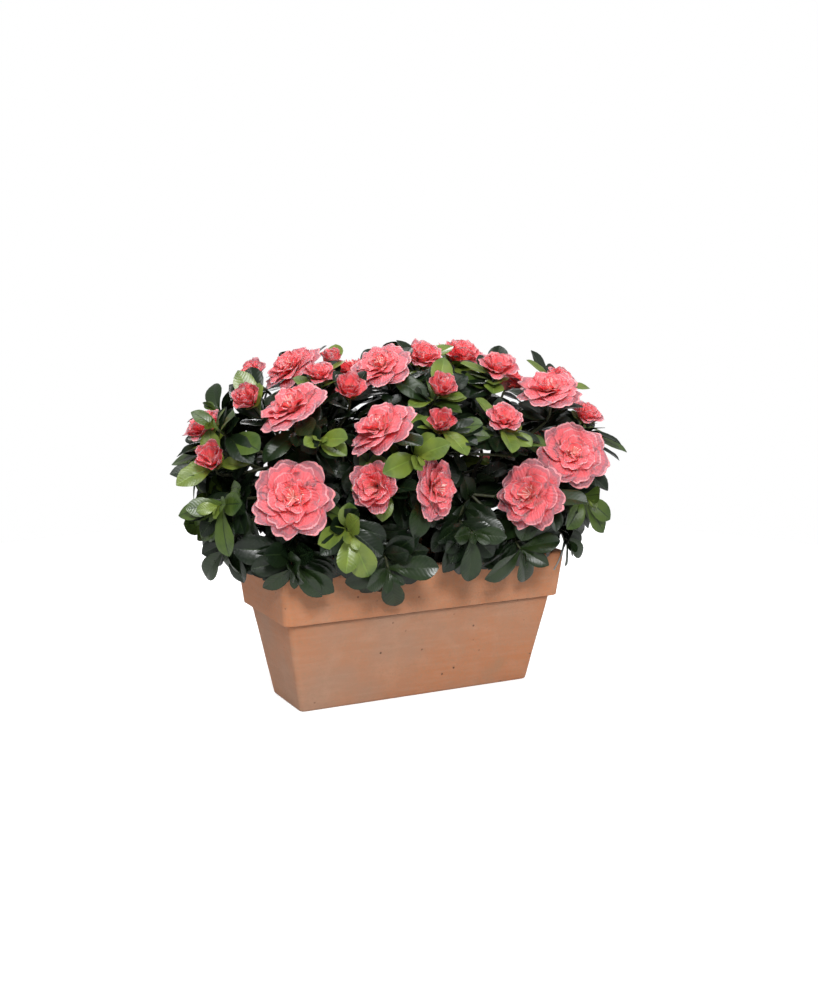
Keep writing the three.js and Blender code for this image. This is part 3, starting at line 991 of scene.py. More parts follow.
@dataclass
class Crown:
    """The boxy ball that the shoots' tips lie on."""

    centre: tuple[float, float, float] = (-5, 0, 215)
    half: tuple[float, float, float] = (205, 112, 105)
    squareness: float = 2.6

    def point(self, bearing: float, rise: float, reach: float = 1.0) -> Array:
        """Find the crown's point at a bearing and rise.

        Args:
            bearing: Degrees from the front.
            rise: Degrees above the crown's middle.
            reach: How far out it is, where 1 is the crown's skin.

        Returns:
            The point.
        """
        way = direction(bearing, rise)
        level = float(np.sum(np.abs(way) ** self.squareness))
        return way * reach / level ** (1 / self.squareness) * self.half + self.centre

    def outward(self, bearing: float, rise: float) -> Array:
        """Return the way straight out of the crown at a bearing and rise, in degrees."""
        way = direction(bearing, rise)
        return unit(np.sign(way) * np.abs(way) ** (self.squareness - 1) / self.half)


@dataclass
class Skeleton:
    """The limbs and shoots, placed by the part's rule."""

    crown: Crown = field(default_factory=Crown)
    soil_top: float = 116
    seat: float = 0.3
    stem_names: tuple[str, ...] = ("far_left", "left", "middle", "right", "far_right")
    stems_apart: float = 42
    stem_height: float = 58
    stem_lean: float = 3
    bough_reach: float = 0.74
    bough_lowest: float = 0.25
    bough_highest: float = 0.97
    bough_offset: float = 4
    bough_turn: float = 6
    bough_checks: int = 30
    bough_enough: float = 6
    bows: tuple[tuple[float, float], ...] = (
        (0, 5), (0, 12), (8, 5), (-8, 5), (0, -4), (14, 8),
        (-14, 8), (18, 0), (-18, 0), (22, 10), (-22, 10),
    )
    hub_depth: float = 60
    fork: float = 0.92
    straight: float = 5
    in_bloom: float = 0.4
    heart_reach: float = 0.85
    rows: tuple[tuple[str, float, dict[str, float]], ...] = (
        ("front_low", -24, {"left": -58, "mid_left": -24, "mid_right": 12, "right": 48}),
        ("front_mid", 14, {"left": -52, "mid_left": -22, "mid_right": 8, "right": 40}),
        ("end", 4, {"left": -90, "right": 90}),
        ("shoulder", 42, {"left": -84, "right": 72}),
        ("top", 60, {"left": -50, "mid": -14, "right": 60}),
        ("back_high", 55, {"left": -140, "right": 160}),
        ("back_mid", 12, {"left": -128, "mid": 180, "right": 128}),
        ("back_low", -24, {"left": -132, "mid": 180, "right": 132}),
    )
    front: tuple[tuple, ...] = (
        (OPEN, -40, -3, -27, 20, 68), (HALF, -21, 0, -50, 8, 44),
        (OPEN, -4, -3, 30, 6, 60), (OPEN, 21, -9, -60, 18, 66),
        (OPEN, 37, 8, -18, 30, 64), (OPEN, 41, 39, -30, 66, 60),
        (HALF, 64, 42, 20, 48, 32), (OPEN, -24, 62, -48, 50, 54),
        (HALF, 12, 74, -10, 55, 36), (OPEN, -88, 60, -80, 50, 56),
        (HALF, -96, 50, -84, 42, 34), (OPEN, -46, 36, -72, 56, 64),
        (BUD, -64, 38, -50, 36, 25), (HALF, -47, 53, -26, 62, 30),
        (BUD, -60, 66, -40, 66, 20), (BUD, -30, 43, -22, 40, 26),
        (OPEN, -20, 27, -78, 50, 62), (HALF, -82, 26, -90, 52, 38),
        (BUD, -67, 12, -36, 34, 27), (HALF, 100, 70, 10, 70, 44),
        (HALF, 35, 55, -10, 56, 36), (BUD, 0, 44, 0, 42, 25),
        (BUD, -3, 27, -24, 36, 25), (HALF, 16, 27, -14, 48, 34),
        (HALF, 50, 24, 14, 60, 32), (LEAFY, -34, 20), (LEAFY, -68, 24),
        (LEAFY, -62, -8), (LEAFY, -27, -20), (LEAFY, -10, 12),
        (LEAFY, 17, 9), (LEAFY, -45, -36), (LEAFY, -70, -30),
        (LEAFY, 42, -14), (LEAFY, -18, -42), (LEAFY, 6, -26),
        (LEAFY, 27, -38), (LEAFY, 50, -36),
    )
    fill_places: int = 150
    fill_lowest: float = -0.66
    fill_apart: float = 50
    fill_front: float = -30
    fill_front_reach: float = 0.86
    fill_reach: float = 0.88
    fill_clear: float = 2
    fill_kinds: tuple[Kind, ...] = (OPEN, LEAFY, HALF, LEAFY, OPEN, BUD, LEAFY)
    fill_sizes: dict[Kind, float] = field(
        default_factory=lambda: {OPEN: 62, HALF: 36, BUD: 26, LEAFY: 0}
    )
    mixed_each: int = 3
    stems: list[Stem] = field(default_factory=list)
    masses: list[Mass] = field(default_factory=list)
    shoots: list[Shoot] = field(default_factory=list)

    def __post_init__(self) -> None:
        """Place everything."""
        self._place_stems()
        self._place_shoots()
        self._place_masses()
        self._place_boughs()
        self._place_twigs()

    def _place_stems(self) -> None:
        """Stand the stems in a row on the filling."""
        for number, name in enumerate(self.stem_names):
            side = number - (len(self.stem_names) - 1) / 2
            foot = np.array([side * self.stems_apart, 0, self.soil_top + self.seat])
            top = foot + (side * self.stem_lean, 0, self.stem_height)
            control = np.array([foot[0], foot[1], (foot[2] + top[2]) / 2])
            self.stems.append(Stem("stem_" + name, Bend(foot, control, top)))

    def _shoot(self, row: Sequence, reach: float = 1.0) -> Shoot:
        """Make a shoot.

        Args:
            row: Its kind, bearing and rise, then the bearing and rise that it looks along and
                its bloom's size, if it has them.
            reach: How far out its tip is, where 1 is the crown's skin.

        Returns:
            The shoot.
        """
        kind, bearing, rise, *rest = row
        out = self.crown.outward(bearing, rise)
        facing = direction(rest[0], rest[1]) if len(rest) > 1 else out
        size = rest[2] if len(rest) > 2 else 0.0
        return Shoot(kind, size, facing, out, self.crown.point(bearing, rise, reach))

    def _place_shoots(self) -> None:
        """Place the front shoots, then those that the rule adds along a spiral."""
        self.shoots = [self._shoot(row) for row in self.front]
        golden = 180 * (3 - math.sqrt(5))
        added = 0
        for number in range(self.fill_places):
            height = lerp(1, self.fill_lowest, (number + 0.5) / self.fill_places)
            rise = math.degrees(math.asin(height))
            bearing = (number * golden) % 360 - 180
            skin = self.crown.point(bearing, rise)
            if any(np.linalg.norm(o.tip - skin) < self.fill_apart for o in self.shoots):
                continue
            is_front = skin[1] < self.fill_front
            wanted = LEAFY if is_front else self.fill_kinds[added % len(self.fill_kinds)]
            reach = self.fill_front_reach if is_front else self.fill_reach
            shoot = self._shoot((wanted, bearing, rise), reach)
            radius = self.fill_sizes[wanted] / 2 + self.fill_clear
            if any(
                o.size and np.linalg.norm(o.tip - shoot.tip) < o.size / 2 + radius
                for o in self.shoots
            ):
                shoot.kind = LEAFY
            shoot.size = self.fill_sizes[shoot.kind]
            self.shoots.append(shoot)
            added += 1
        for number, shoot in enumerate(self.shoots):
            is_mixed = shoot.kind == LEAFY and (number + 1) % self.mixed_each == 0
            usual = MIXED if is_mixed else SHOOT_RULES[shoot.kind].tones
            shoot.tones = SHOOT_TONES.get(number, usual)

    def _place_masses(self) -> None:
        """Give each shoot to the mass with the nearest heart, and each mass to a stem."""
        for row, rise, bearings in self.rows:
            for side, bearing in bearings.items():
                heart = self.crown.point(bearing, rise, self.heart_reach)
                self.masses.append(Mass(f"{row}_{side}", heart))
        for shoot in self.shoots:
            nearest = min(self.masses, key=lambda m: float(np.linalg.norm(m.heart - shoot.tip)))
            nearest.shoots.append(shoot)
        for mass in self.masses:
            middle = np.mean([shoot.tip for shoot in mass.shoots], axis=0)
            out = unit(np.sum([shoot.out for shoot in mass.shoots], axis=0))
            mass.hub = middle - self.hub_depth * out
            stem = min(self.stems, key=lambda s: abs(s.curve.end[0] - mass.hub[0]))
            stem.masses.append(mass)

    def _bowed(self, start: Array, hub: Array, aside: float, lift: float) -> Bend:
        """Lead a bough off the side of its stem.

        Args:
            start: Where it leaves the stem's middle line.
            hub: Where its mass's stem ends.
            aside: How far it bows to one side.
            lift: How far it bows up.

        Returns:
            Its line, which ends where it enters the mass.
        """
        out = hub - start
        side = unit(np.array([-out[1], out[0], 0]))
        level = unit(np.array([out[0], out[1], 0])) + side * aside / self.bough_turn
        first = start + unit(level) * self.bough_offset
        last = start + out * self.bough_reach
        control = (first + last) / 2 + side * aside + (0, 0, lift)
        return Bend(first, control, last)

    def _place_boughs(self) -> None:
        """Lead the boughs off each stem in the order of their hubs' height."""
        shares = np.linspace(0, 1, self.bough_checks + 1)
        taken: list[Array] = []
        for stem in self.stems:
            stem.masses.sort(key=lambda m: m.hub[2])
            for number, mass in enumerate(stem.masses):
                step = number / (len(stem.masses) - 1)
                start = stem.curve.at(lerp(self.bough_lowest, self.bough_highest, step))
                bowed = [self._bowed(start, mass.hub, *bow) for bow in self.bows]
                rooms = [self._room(bend.at(shares), taken) for bend in bowed]
                mass.bough = bowed[rooms.index(max(rooms))]
                taken.append(mass.bough.at(shares))

    def _room(self, places: Array, taken: Sequence[Array]) -> float:
        """Return how near a line's places come to the boughs before it, or what is enough."""
        gaps = [np.linalg.norm(places[:, None] - other, axis=-1).min() for other in taken]
        return float(min([self.bough_enough, *gaps]))

    def _place_twigs(self) -> None:
        """Run each mass's stem on to its hub, and a twig from there to each shoot."""
        for mass in self.masses:
            way = mass.bough.way(1)
            start = mass.bough.at(1.0) + way * self.seat
            control = start + way * np.linalg.norm(mass.hub - start) / 2
            mass.curve = Bend(start, control, mass.hub)
            for shoot in mass.shoots:
                rule = SHOOT_RULES[shoot.kind]
                shoot.depth = rule.depth * shoot.size / 2
                knee_back = shoot.depth + rule.whorls[-1][1] + self.straight
                knee = shoot.tip - shoot.facing * knee_back
                end = shoot.tip - shoot.facing * shoot.depth * (1 - self.in_bloom)
                shoot.twig = Through(mass.curve.at(self.fork), knee, end)


@dataclass
class LeafRule:
    """Grows the leaves: first those of the part's rule, then finer whorls in the same space."""

    skeleton: Skeleton
    aspect: float = 0.58
    widest: float = 0.58
    sink: float = 0.6
    thick: float = 1.4
    fine_thick: float = 0.35
    inner_thick: float = -4.0
    vary_turn: float = 0.3
    vary_pitch: float = 16
    vary_length: float = 0.2
    outlook: tuple[float, float] = (-0.4, 1.2)
    outlook_more: float = 14
    outlook_width: float = 0.95
    attempts: int = 7
    swing: float = 0.3
    closer: float = 7
    shorter: float = 0.06
    space_margin: float = 0.8
    limb_margin: float = 1.1
    trough: tuple[float, float, float] = (290, 120, 130)
    stem_room: tuple[int, float] = (10, 5.5)
    bough_room: tuple[int, float] = (20, 2.3)
    mass_stem_room: tuple[int, float] = (10, 1.7)
    twig_room: tuple[int, float] = (24, 1.8)
    blade_rows: tuple[float, ...] = (0.2, 0.4, 0.6, 0.8, 1.02)
    blade_columns: tuple[float, ...] = (-1, -0.5, 0, 0.5, 1)
    blade_end: float = 1.1
    blade_reach: float = 1.3
    bloom_cap: float = 0.8
    bloom_widest: float = 1.05
    bloom_clear: float = 0.05
    inner_step: float = 0.02
    seed: int = 20417
    fine_seed: int = 515

    def __post_init__(self) -> None:
        """Lay out the places that leaves keep clear of."""
        sk = self.skeleton
        self.tips = np.array([shoot.tip for shoot in sk.shoots])
        self.rooms = np.array([shoot.room for shoot in sk.shoots])
        owner = {id(shoot): m for m, mass in enumerate(sk.masses) for shoot in mass.shoots}
        self.owners = np.array([owner[id(shoot)] for shoot in sk.shoots])
        places, radii = [], []
        for curve, (count, radius) in (
            [(stem.curve, self.stem_room) for stem in sk.stems]
            + [(mass.bough, self.bough_room) for mass in sk.masses]
            + [(mass.curve, self.mass_stem_room) for mass in sk.masses]
            + [(shoot.twig, self.twig_room) for shoot in sk.shoots]
        ):
            found = curve.at(np.linspace(0, 1, count + 1))
            places.append(found)
            radii.append(np.full(len(found), radius))
        self.limb_places = np.concatenate(places)
        self.limb_radii = np.concatenate(radii)
        self.blooms = [shoot for shoot in sk.shoots if shoot.size]

    def grow(self) -> list[Leaf]:
        """Grow all the leaves.

        Returns:
            The leaves of the part's rule and the finer ones.
        """
        stream = SeededStream(self.seed)
        fine = SeededStream(self.fine_seed)
        grown: list[Leaf] = []
        for number, mass in enumerate(self.skeleton.masses):
            bed = LeafBed(number)
            hub = Shoot(LEAFY, 0, mass.curve.way(1), mass.curve.way(1), mass.hub)
            self._whorl(hub, HUB_WHORL, Tone.DEEP, bed, stream, self.thick)
            for shoot in mass.shoots:
                for whorl, tone in zip(SHOOT_RULES[shoot.kind].whorls, shoot.tones):
                    self._whorl(shoot, whorl, tone, bed, stream, self.thick)
            for shoot in mass.shoots:
                rule = SHOOT_RULES[shoot.kind]
                for whorl, tone in zip(rule.finer, shoot.tones[len(rule.whorls) :]):
                    self._whorl(shoot, whorl, tone, bed, fine, self.fine_thick)
            for whorl in FINER_HUB:
                self._whorl(hub, whorl, Tone.DEEP, bed, fine, self.fine_thick)
            for node in self._inner_nodes(mass):
                self._whorl(node, INNER_WHORL, Tone.DEEP, bed, fine, self.inner_thick)
            grown.extend(bed.leaves)
        return [leaf for leaf in grown if not self._hides_bloom(leaf)]

    def _inner_nodes(self, mass: Mass) -> list[Shoot]:
        """Find where whorls sit along a mass's twigs and bough.

        Args:
            mass: The mass.

        Returns:
            A bare shoot for each whorl, which looks along the limb.
        """
        lines = [(shoot.twig, INNER_ON_TWIG) for shoot in mass.shoots]
        nodes = []
        for line, shares in [*lines, (mass.bough, INNER_ON_BOUGH)]:
            for share in shares:
                before, after = line.at(share - self.inner_step), line.at(share + self.inner_step)
                way = unit(after - before)
                nodes.append(Shoot(LEAFY, 0, way, way, line.at(share)))
        return nodes

    def _hides_bloom(self, leaf: Leaf) -> bool:
        """Test whether a leaf stands in a bloom's outlook, where a real one is bent aside.

        Args:
            leaf: The leaf.

        Returns:
            Whether it does.
        """
        for shoot in self.blooms:
            radius = shoot.size / 2
            gaps = (np.vstack([leaf.places, leaf.root]) - shoot.tip) / radius
            ahead = gaps @ shoot.facing
            aside = np.linalg.norm(gaps - ahead[:, None] * shoot.facing, axis=-1)
            farthest = self.outlook[1] + self.outlook_more / radius
            before = (ahead > self.outlook[0]) & (ahead < farthest)
            if np.any(before & (aside < self.outlook_width)):
                return True
        return False

    def _whorl(
        self,
        shoot: Shoot,
        whorl: Whorl,
        tone: Tone,
        bed: LeafBed,
        stream: SeededStream,
        thick: float,
    ) -> None:
        """Grow one ring of leaves, each tried again where it doesn't fit.

        Args:
            shoot: The shoot that carries the ring.
            whorl: The ring's count, distance back, pitch and length.
            tone: The leaves' dye.
            bed: The mass's leaves so far, which the ring is added to.
            stream: Where the random numbers come from.
            thick: How near another leaf's blade a leaf may come.
        """
        count, behind, pitch, length = whorl
        start = stream() * math.tau
        for number in range(count):
            turn_shift, pitch_shift, length_shift = stream() - 0.5, stream() - 0.5, stream() - 0.5
            for attempt in range(self.attempts):
                swing = (1 if attempt % 2 else -1) * math.ceil(attempt / 2) * self.swing
                leaf = self._leaf(
                    shoot,
                    start + (number + self.vary_turn * turn_shift + swing) * math.tau / count,
                    math.radians(pitch + self.vary_pitch * pitch_shift - self.closer * attempt),
                    shoot.depth + behind,
                    length * (1 + self.vary_length * length_shift - self.shorter * attempt),
                    tone,
                )
                if (
                    self._in_space(leaf.places, bed.owner)
                    and self._is_clear(leaf)
                    and not self._in_bloom(leaf)
                    and not bed.is_crossed(leaf, thick)
                ):
                    bed.leaves.append(leaf)
                    break

    def _leaf(
        self, shoot: Shoot, turn: float, pitch: float, back: float, length: float, tone: Tone
    ) -> Leaf:
        """Place a leaf.

        Args:
            shoot: The shoot that carries it.
            turn: Its turn about the shoot, in radians.
            pitch: Its lean away from the shoot's axis, in radians.
            back: How far behind the shoot's tip it is rooted.
            length: Its length.
            tone: Its dye.

        Returns:
            The leaf.
        """
        axis = shoot.facing
        side = unit(np.array([-axis[1], axis[0], 0]))
        over = np.cross(axis, side)
        spoke = side * math.cos(turn) + over * math.sin(turn)
        way = axis * math.cos(pitch) + spoke * math.sin(pitch)
        upper = axis * math.sin(pitch) - spoke * math.cos(pitch)
        root = shoot.tip - axis * back - way * self.sink
        half = length * self.aspect / 2
        leaf = Leaf(root, way, upper, np.cross(upper, way), length, half, tone)
        leaf.places = self._places(leaf)
        return leaf

    def _places(self, leaf: Leaf) -> Array:
        """Find places on a leaf's blade, in rows from its root.

        Args:
            leaf: The leaf.

        Returns:
            The places.
        """
        found = []
        for along in self.blade_rows:
            inner = along / self.widest
            outer = (self.blade_end - along) / (self.blade_end - self.widest)
            width = inner if along < self.widest else outer
            for share in self.blade_columns:
                aside = leaf.across * share * width * leaf.half
                found.append(leaf.root + leaf.way * along * leaf.length + aside)
        return np.array(found)

    def _in_space(self, places: Array, owner: int) -> bool:
        """Test whether places are nearer to a shoot of their own mass than to any other.

        Args:
            places: The places.
            owner: Their mass's number.

        Returns:
            Whether all of them are.
        """
        gaps = np.sum((places[:, None] - self.tips) ** 2, axis=-1) - self.rooms**2
        own = self.owners == owner
        home = np.where(own, gaps, np.inf).argmin(axis=1)
        power = gaps[np.arange(len(places)), home]
        apart = np.linalg.norm(self.tips[None] - self.tips[home][:, None], axis=-1)
        margin = 2 * self.space_margin * apart
        return bool(np.all((gaps - power[:, None] > margin) | own[None]))

    def _is_clear(self, leaf: Leaf) -> bool:
        """Test whether a leaf is clear of the limbs, the trough and what is in it.

        Args:
            leaf: The leaf.

        Returns:
            Whether it is.
        """
        places = leaf.places
        length, width, height = self.trough
        over = (np.abs(places[:, 0]) < length / 2 + self.limb_margin) & (
            np.abs(places[:, 1]) < width / 2 + self.limb_margin
        )
        if np.any(over & (places[:, 2] < height + self.limb_margin)):
            return False
        reach = leaf.length * self.blade_reach + self.limb_margin
        near = np.abs(self.limb_places - leaf.root).max(axis=1) < reach
        gaps = np.linalg.norm(places[:, None] - self.limb_places[near], axis=-1)
        return bool(np.all(gaps > self.limb_radii[near] + self.limb_margin))

    def _in_bloom(self, leaf: Leaf) -> bool:
        """Test whether any of a leaf lies in a bloom, taken as a cone with a cap.

        Args:
            leaf: The leaf.

        Returns:
            Whether any of it does.
        """
        for shoot in self.blooms:
            farthest = leaf.length * self.blade_reach + shoot.size
            if np.linalg.norm(shoot.tip - leaf.root) > farthest:
                continue
            radius = shoot.size / 2
            depth = shoot.depth / radius
            gaps = (leaf.places - shoot.tip) / radius
            ahead = gaps @ shoot.facing
            aside = np.linalg.norm(gaps - ahead[:, None] * shoot.facing, axis=-1)
            wide = np.minimum(self.bloom_widest, (ahead + depth) / depth + self.bloom_clear)
            if np.any((ahead > -depth) & (ahead < self.bloom_cap) & (aside < wide)):
                return True
        return False


class LeafBed:
    """The leaves of one mass, which each new one is tested against."""

    BLADE = (0.15, 1.05)

    def __init__(self, owner: int) -> None:
        """Start with no leaves, in the mass of that number."""
        self.owner = owner
        self.leaves: list[Leaf] = []

    def is_crossed(self, leaf: Leaf, thick: float) -> bool:
        """Test whether a leaf crosses one of the others, or comes close to it.

        Args:
            leaf: The new leaf.
            thick: How close; less than nothing lets blades cross by that much.

        Returns:
            Whether it does.
        """
        if not self.leaves:
            return False
        frames = np.array([[o.root, o.way, o.across, o.upper] for o in self.leaves])
        lengths, halves = np.array([[[o.length], [o.half]] for o in self.leaves]).swapaxes(0, 1)
        gaps = leaf.places[None] - frames[:, None, 0]
        along, aside, height = (np.einsum("kpc,kc->kp", gaps, frames[:, n]) for n in (1, 2, 3))
        if self._straddles(along / lengths, np.abs(aside) / halves, height, thick):
            return True
        gaps = np.array([o.places for o in self.leaves]) - leaf.root
        aside = np.abs(gaps @ leaf.across) / leaf.half
        return self._straddles(gaps @ leaf.way / leaf.length, aside, gaps @ leaf.upper, thick)

    def _straddles(self, along: Array, aside: Array, height: Array, thick: float) -> bool:
        """Test whether any row of places over a blade lies on both of its sides.

        Args:
            along: How far each place is along the blade, as a share of its length.
            aside: How far to a side, as a share of half its width.
            height: How far above it.
            thick: How near to the blade counts as on both sides.

        Returns:
            Whether one does.
        """
        over = (along > self.BLADE[0]) & (along < self.BLADE[1]) & (aside < 1)
        lowest = np.where(over, height, np.inf).min(axis=1)
        highest = np.where(over, height, -np.inf).max(axis=1)
        return bool(np.any((lowest < thick) & (highest > -thick)))


@dataclass
class LeafPress:
    """Presses the leaf templates: an egg-shaped blade on a short stalk, folded at its rib.

    Folds, droops, twists, waves and how pointed the tip is vary between their two values.
    """

    name: str = "leaf_press"
    rows: int = 10
    stalk: float = 0.09
    stalk_width: float = 0.09
    rib_width: float = 0.05
    fold: tuple[float, float] = (0.1, 0.28)
    droop: tuple[float, float] = (0.12, 0.38)
    variants: int = 8
    twist: tuple[float, float] = (-0.25, 0.25)
    wave: tuple[float, float] = (0.0, 0.02)
    waves: float = 7
    phases: float = 6
    arch_foot: float = 1.25
    arch_along: tuple[float, float] = (0.05, 0.98)
    twist_share: float = 0.12
    point: tuple[float, float] = (0.1, 1)
    swell: float = 0.9
    taper: tuple[float, float] = (3.2, 2.2)
    rounding: tuple[float, float] = (0.65, 0.95)
    tip_width: float = 0.04
    quarter: float = 0.55
    close_rows: float = 1.9
    seed: int = 70

    def width(self, along: Array, point: float) -> Array:
        """Return half the blade's width at shares of its length, 1 at the widest.

        Args:
            along: The shares, from the root.
            point: How pointed the tip is: 0 is round, 1 sharp.

        Returns:
            The half widths.
        """
        blade = np.clip((along - self.stalk) / (1 - self.stalk), 0, 1)
        closing = (1 - blade ** lerp(*self.taper, point)) ** lerp(*self.rounding, point)
        swell = blade**self.swell * closing
        return np.maximum(swell / swell.max(), self.stalk_width * (1 - blade))

    def press(self, number: int) -> Mesh:
        """Press one template.

        Args:
            number: Which variant, each with its own fold, droop, twist and wave.

        Returns:
            The leaf, one long along X, one to each side along Y.
        """
        rng = np.random.default_rng(self.seed + number)
        fold, droop = rng.uniform(*self.fold), rng.uniform(*self.droop)
        twist, wave = rng.uniform(*self.twist), rng.uniform(*self.wave)
        phase, point = rng.uniform(0, self.phases), rng.uniform(*self.point)
        ease = np.linspace(0, 1, self.rows)
        along = 1 - (1 - ease) ** self.close_rows
        halves = np.array([self.rib_width, self.quarter, 1])
        columns = np.concatenate([-halves[::-1], halves])
        half = self.width(along, point)
        half[-1] = self.tip_width
        x = np.repeat(along[:, None], len(columns), axis=1)
        y = half[:, None] * columns[None]
        y[:, 2:4] = np.clip(y[:, 2:4], -self.rib_width, self.rib_width)
        side = np.abs(y)
        arch = np.sin(np.pi * np.clip(x, *self.arch_along)) ** 0.5
        z = fold * side * (self.arch_foot - side) * arch - droop * x**2
        z += wave * np.sin(self.waves * x + phase) * side
        z += twist * self.twist_share * y * x
        zones = np.zeros((self.rows - 1, len(columns) - 1), dtype=int)
        zones[:, 2] = 1
        sheet = Patchwork()
        sheet.grid(np.stack([x, y, z], axis=-1)[:, ::-1], zones[:, ::-1])
        return sheet.mesh(f"{self.name}_{number}")

    def templates(self) -> Collection:
        """Press all the variants."""
        return template_set(self.name, [self.press(n) for n in range(self.variants)])


@dataclass
class Petal:
    """One petal of a bloom, by the slope of its middle line and its ruffles.

    The slopes are in degrees from the bloom's axis, at the claw and at the rim. The rim has
    scallops, rounded corners and a notch at its middle, and the zones end at shares of the
    petal's length.
    """

    length: float
    width: float
    base_slope: float
    rim_slope: float
    lift: float = 0.0
    start: float = 0.04
    ruffle: float = 0.06
    scallop: float = 0.03
    cup: float = 0.1
    depth: float = 1.0
    columns: int = 13
    steps: tuple[float, ...] = (0, 0.2, 0.4, 0.57, 0.72, 0.84, 0.94, 1)
    opening: float = 0.8
    claw: float = 0.16
    swell: float = 1.28
    fullness: float = 0.8
    rim_in: float = 0.1
    side_in: float = 0.08
    edge_ease: float = 1.6
    lift_share: float = 0.65
    corners: tuple[float, float] = (0.34, 2.3)
    notch: tuple[float, float] = (0.06, 0.17)
    scallops: float = 7
    pleats: float = 3.6
    fine_pleat: float = 0.4
    streak: float = 0.025
    side_rim: float = 0.1
    zone_ends: tuple[float, ...] = (0.36, 0.58, 0.76, 0.88)

    def grid(self, rng: np.random.Generator) -> tuple[Array, Array]:
        """Shape the petal and dye it.

        Args:
            rng: The source of its irregularity.

        Returns:
            Its points, going out along X with the axis along Z, and a zone for each face.
        """
        v = np.array(self.steps)[:, None]
        u = np.linspace(-1, 1, self.columns)[None, :]
        opened = (self.rim_slope - self.base_slope) * v[:, 0] ** self.opening
        slope = np.radians(self.base_slope + opened)
        step = np.diff(v[:, 0], prepend=0)
        out = self.start + self.length * np.cumsum(np.sin(slope) * step)[:, None]
        up = self.lift + self.length * np.cumsum(np.cos(slope) * step)[:, None]
        phase, second = rng.uniform(0, math.tau, 2)
        swell = np.sin(np.minimum(v * self.swell, 1.0) * math.pi / 2) ** self.fullness
        half = self.width * (self.claw + (1 - self.claw) * swell) * (1 - self.rim_in * v**6)
        (cut, sharpness), (deep, wide) = self.corners, self.notch
        edge = (1 - cut * np.abs(u) ** sharpness) - deep * np.exp(-((u / wide) ** 2))
        edge = edge + self.scallop * np.sin(self.scallops * u + phase)
        reach = 1 + (edge - 1) * v**self.edge_ease
        pleat = np.sin(self.pleats * u + second)
        pleat = pleat + self.fine_pleat * np.sin(2 * self.pleats * u + phase)
        raise_by = self.ruffle * v**2 * pleat + self.cup * v * u**2
        x = out * reach - np.cos(slope)[:, None] * raise_by
        lift = 1 - self.lift_share + self.lift_share * reach
        z = up * lift + np.sin(slope)[:, None] * raise_by
        y = half * u * (1 - self.side_in * np.abs(u) * v)
        middle = (v[1:] + v[:-1]) / 2
        streak = rng.uniform(-self.streak, self.streak, self.columns - 1)[None, :]
        rim = self.side_rim * np.abs((u[:, 1:] + u[:, :-1]) / 2) ** 4
        zones = np.digitize(middle * self.depth + streak * middle + rim, self.zone_ends)
        zones[-1] = Zone.RIM
        return np.stack([x, y, z], axis=-1), zones


@dataclass(frozen=True)
class Ring:
    """A ring of like petals in a bloom: how many, and how they vary."""

    count: int
    petal: Petal
    tilt: float = 6.0


def pinwheel(points: Array, turn: float, tilt: float, roll: float) -> Array:
    """Turn a petal about the bloom's axis, after a tilt and a roll that let it overlap.

    Args:
        points: The petal's points.
        turn: Its angle round the axis, in radians.
        tilt: Up or down, in radians.
        roll: About its own middle line, in radians.

    Returns:
        The turned points.
    """
    turned = points @ np.array(Matrix.Rotation(roll, 3, "X")).T
    turned = turned @ np.array(Matrix.Rotation(tilt, 3, "Y")).T
    return turned @ np.array(Matrix.Rotation(turn, 3, "Z")).T


@dataclass
class BloomPress:
    """Builds bloom templates of radius one, looking along Z: rings of stamped petals."""

    name: str
    rings: tuple[Ring, ...]
    variants: int
    seed: int
    sizes: tuple[float, float] = (0.92, 1.04)
    aside: float = 0.08
    roll: tuple[float, float] = (3, 9)

    def press(self, number: int) -> Mesh:
        """Build one variant.

        Args:
            number: Which variant.

        Returns:
            The bloom's petals, with their zones.
        """
        rng = np.random.default_rng(self.seed + number)
        work = Patchwork()
        for ring in self.rings:
            first = rng.uniform(0, math.tau)
            for place in range(ring.count):
                points, zones = ring.petal.grid(rng)
                points = points * rng.uniform(*self.sizes)
                shift = place + rng.uniform(-self.aside, self.aside)
                turn = first + shift * math.tau / ring.count
                tilt = math.radians(rng.normal(0, ring.tilt))
                roll = math.radians(rng.uniform(*self.roll))
                work.grid(pinwheel(points, turn, tilt, roll), zones)
        return work.mesh(f"{self.name}_{number}")

    def templates(self) -> Collection:
        """Build all the variants."""
        return template_set(self.name, [self.press(n) for n in range(self.variants)])


FEW_STEPS = (0, 0.3, 0.55, 0.76, 0.92, 1)
OPEN_RINGS = (
    Ring(7, Petal(1.1, 0.5, 42, 102, -0.42, 0.04, 0.03, 0.02, -0.04, 1.06, 15), 4),
    Ring(6, Petal(0.94, 0.46, 38, 94, -0.36, ruffle=0.04, cup=0.02, depth=0.92, columns=15), 5),
    Ring(5, Petal(0.72, 0.38, 32, 84, -0.3, ruffle=0.05, cup=0.08, depth=0.78)),
    Ring(5, Petal(0.54, 0.28, 24, 72, -0.24, 0.04, 0.06, 0.03, 0.12, 0.7, 11, FEW_STEPS)),
    Ring(4, Petal(0.38, 0.2, 14, 54, -0.18, 0.03, 0.06, 0.03, 0.16, 0.66, 9, FEW_STEPS)),
)
HALF_RINGS = (
    Ring(5, Petal(1.3, 0.58, 24, 80, -0.68, ruffle=0.05, scallop=0.02, cup=0.06, columns=15)),
    Ring(5, Petal(1.12, 0.48, 20, 64, -0.6, ruffle=0.06, cup=0.12, depth=0.8)),
    Ring(4, Petal(0.98, 0.38, 14, 50, -0.52, 0.04, 0.07, 0.03, 0.18, 0.7, 11, FEW_STEPS)),
    Ring(3, Petal(0.8, 0.28, 8, 34, -0.45, 0.07, 0.06, 0.03, 0.2, 0.66, 9, FEW_STEPS)),
)
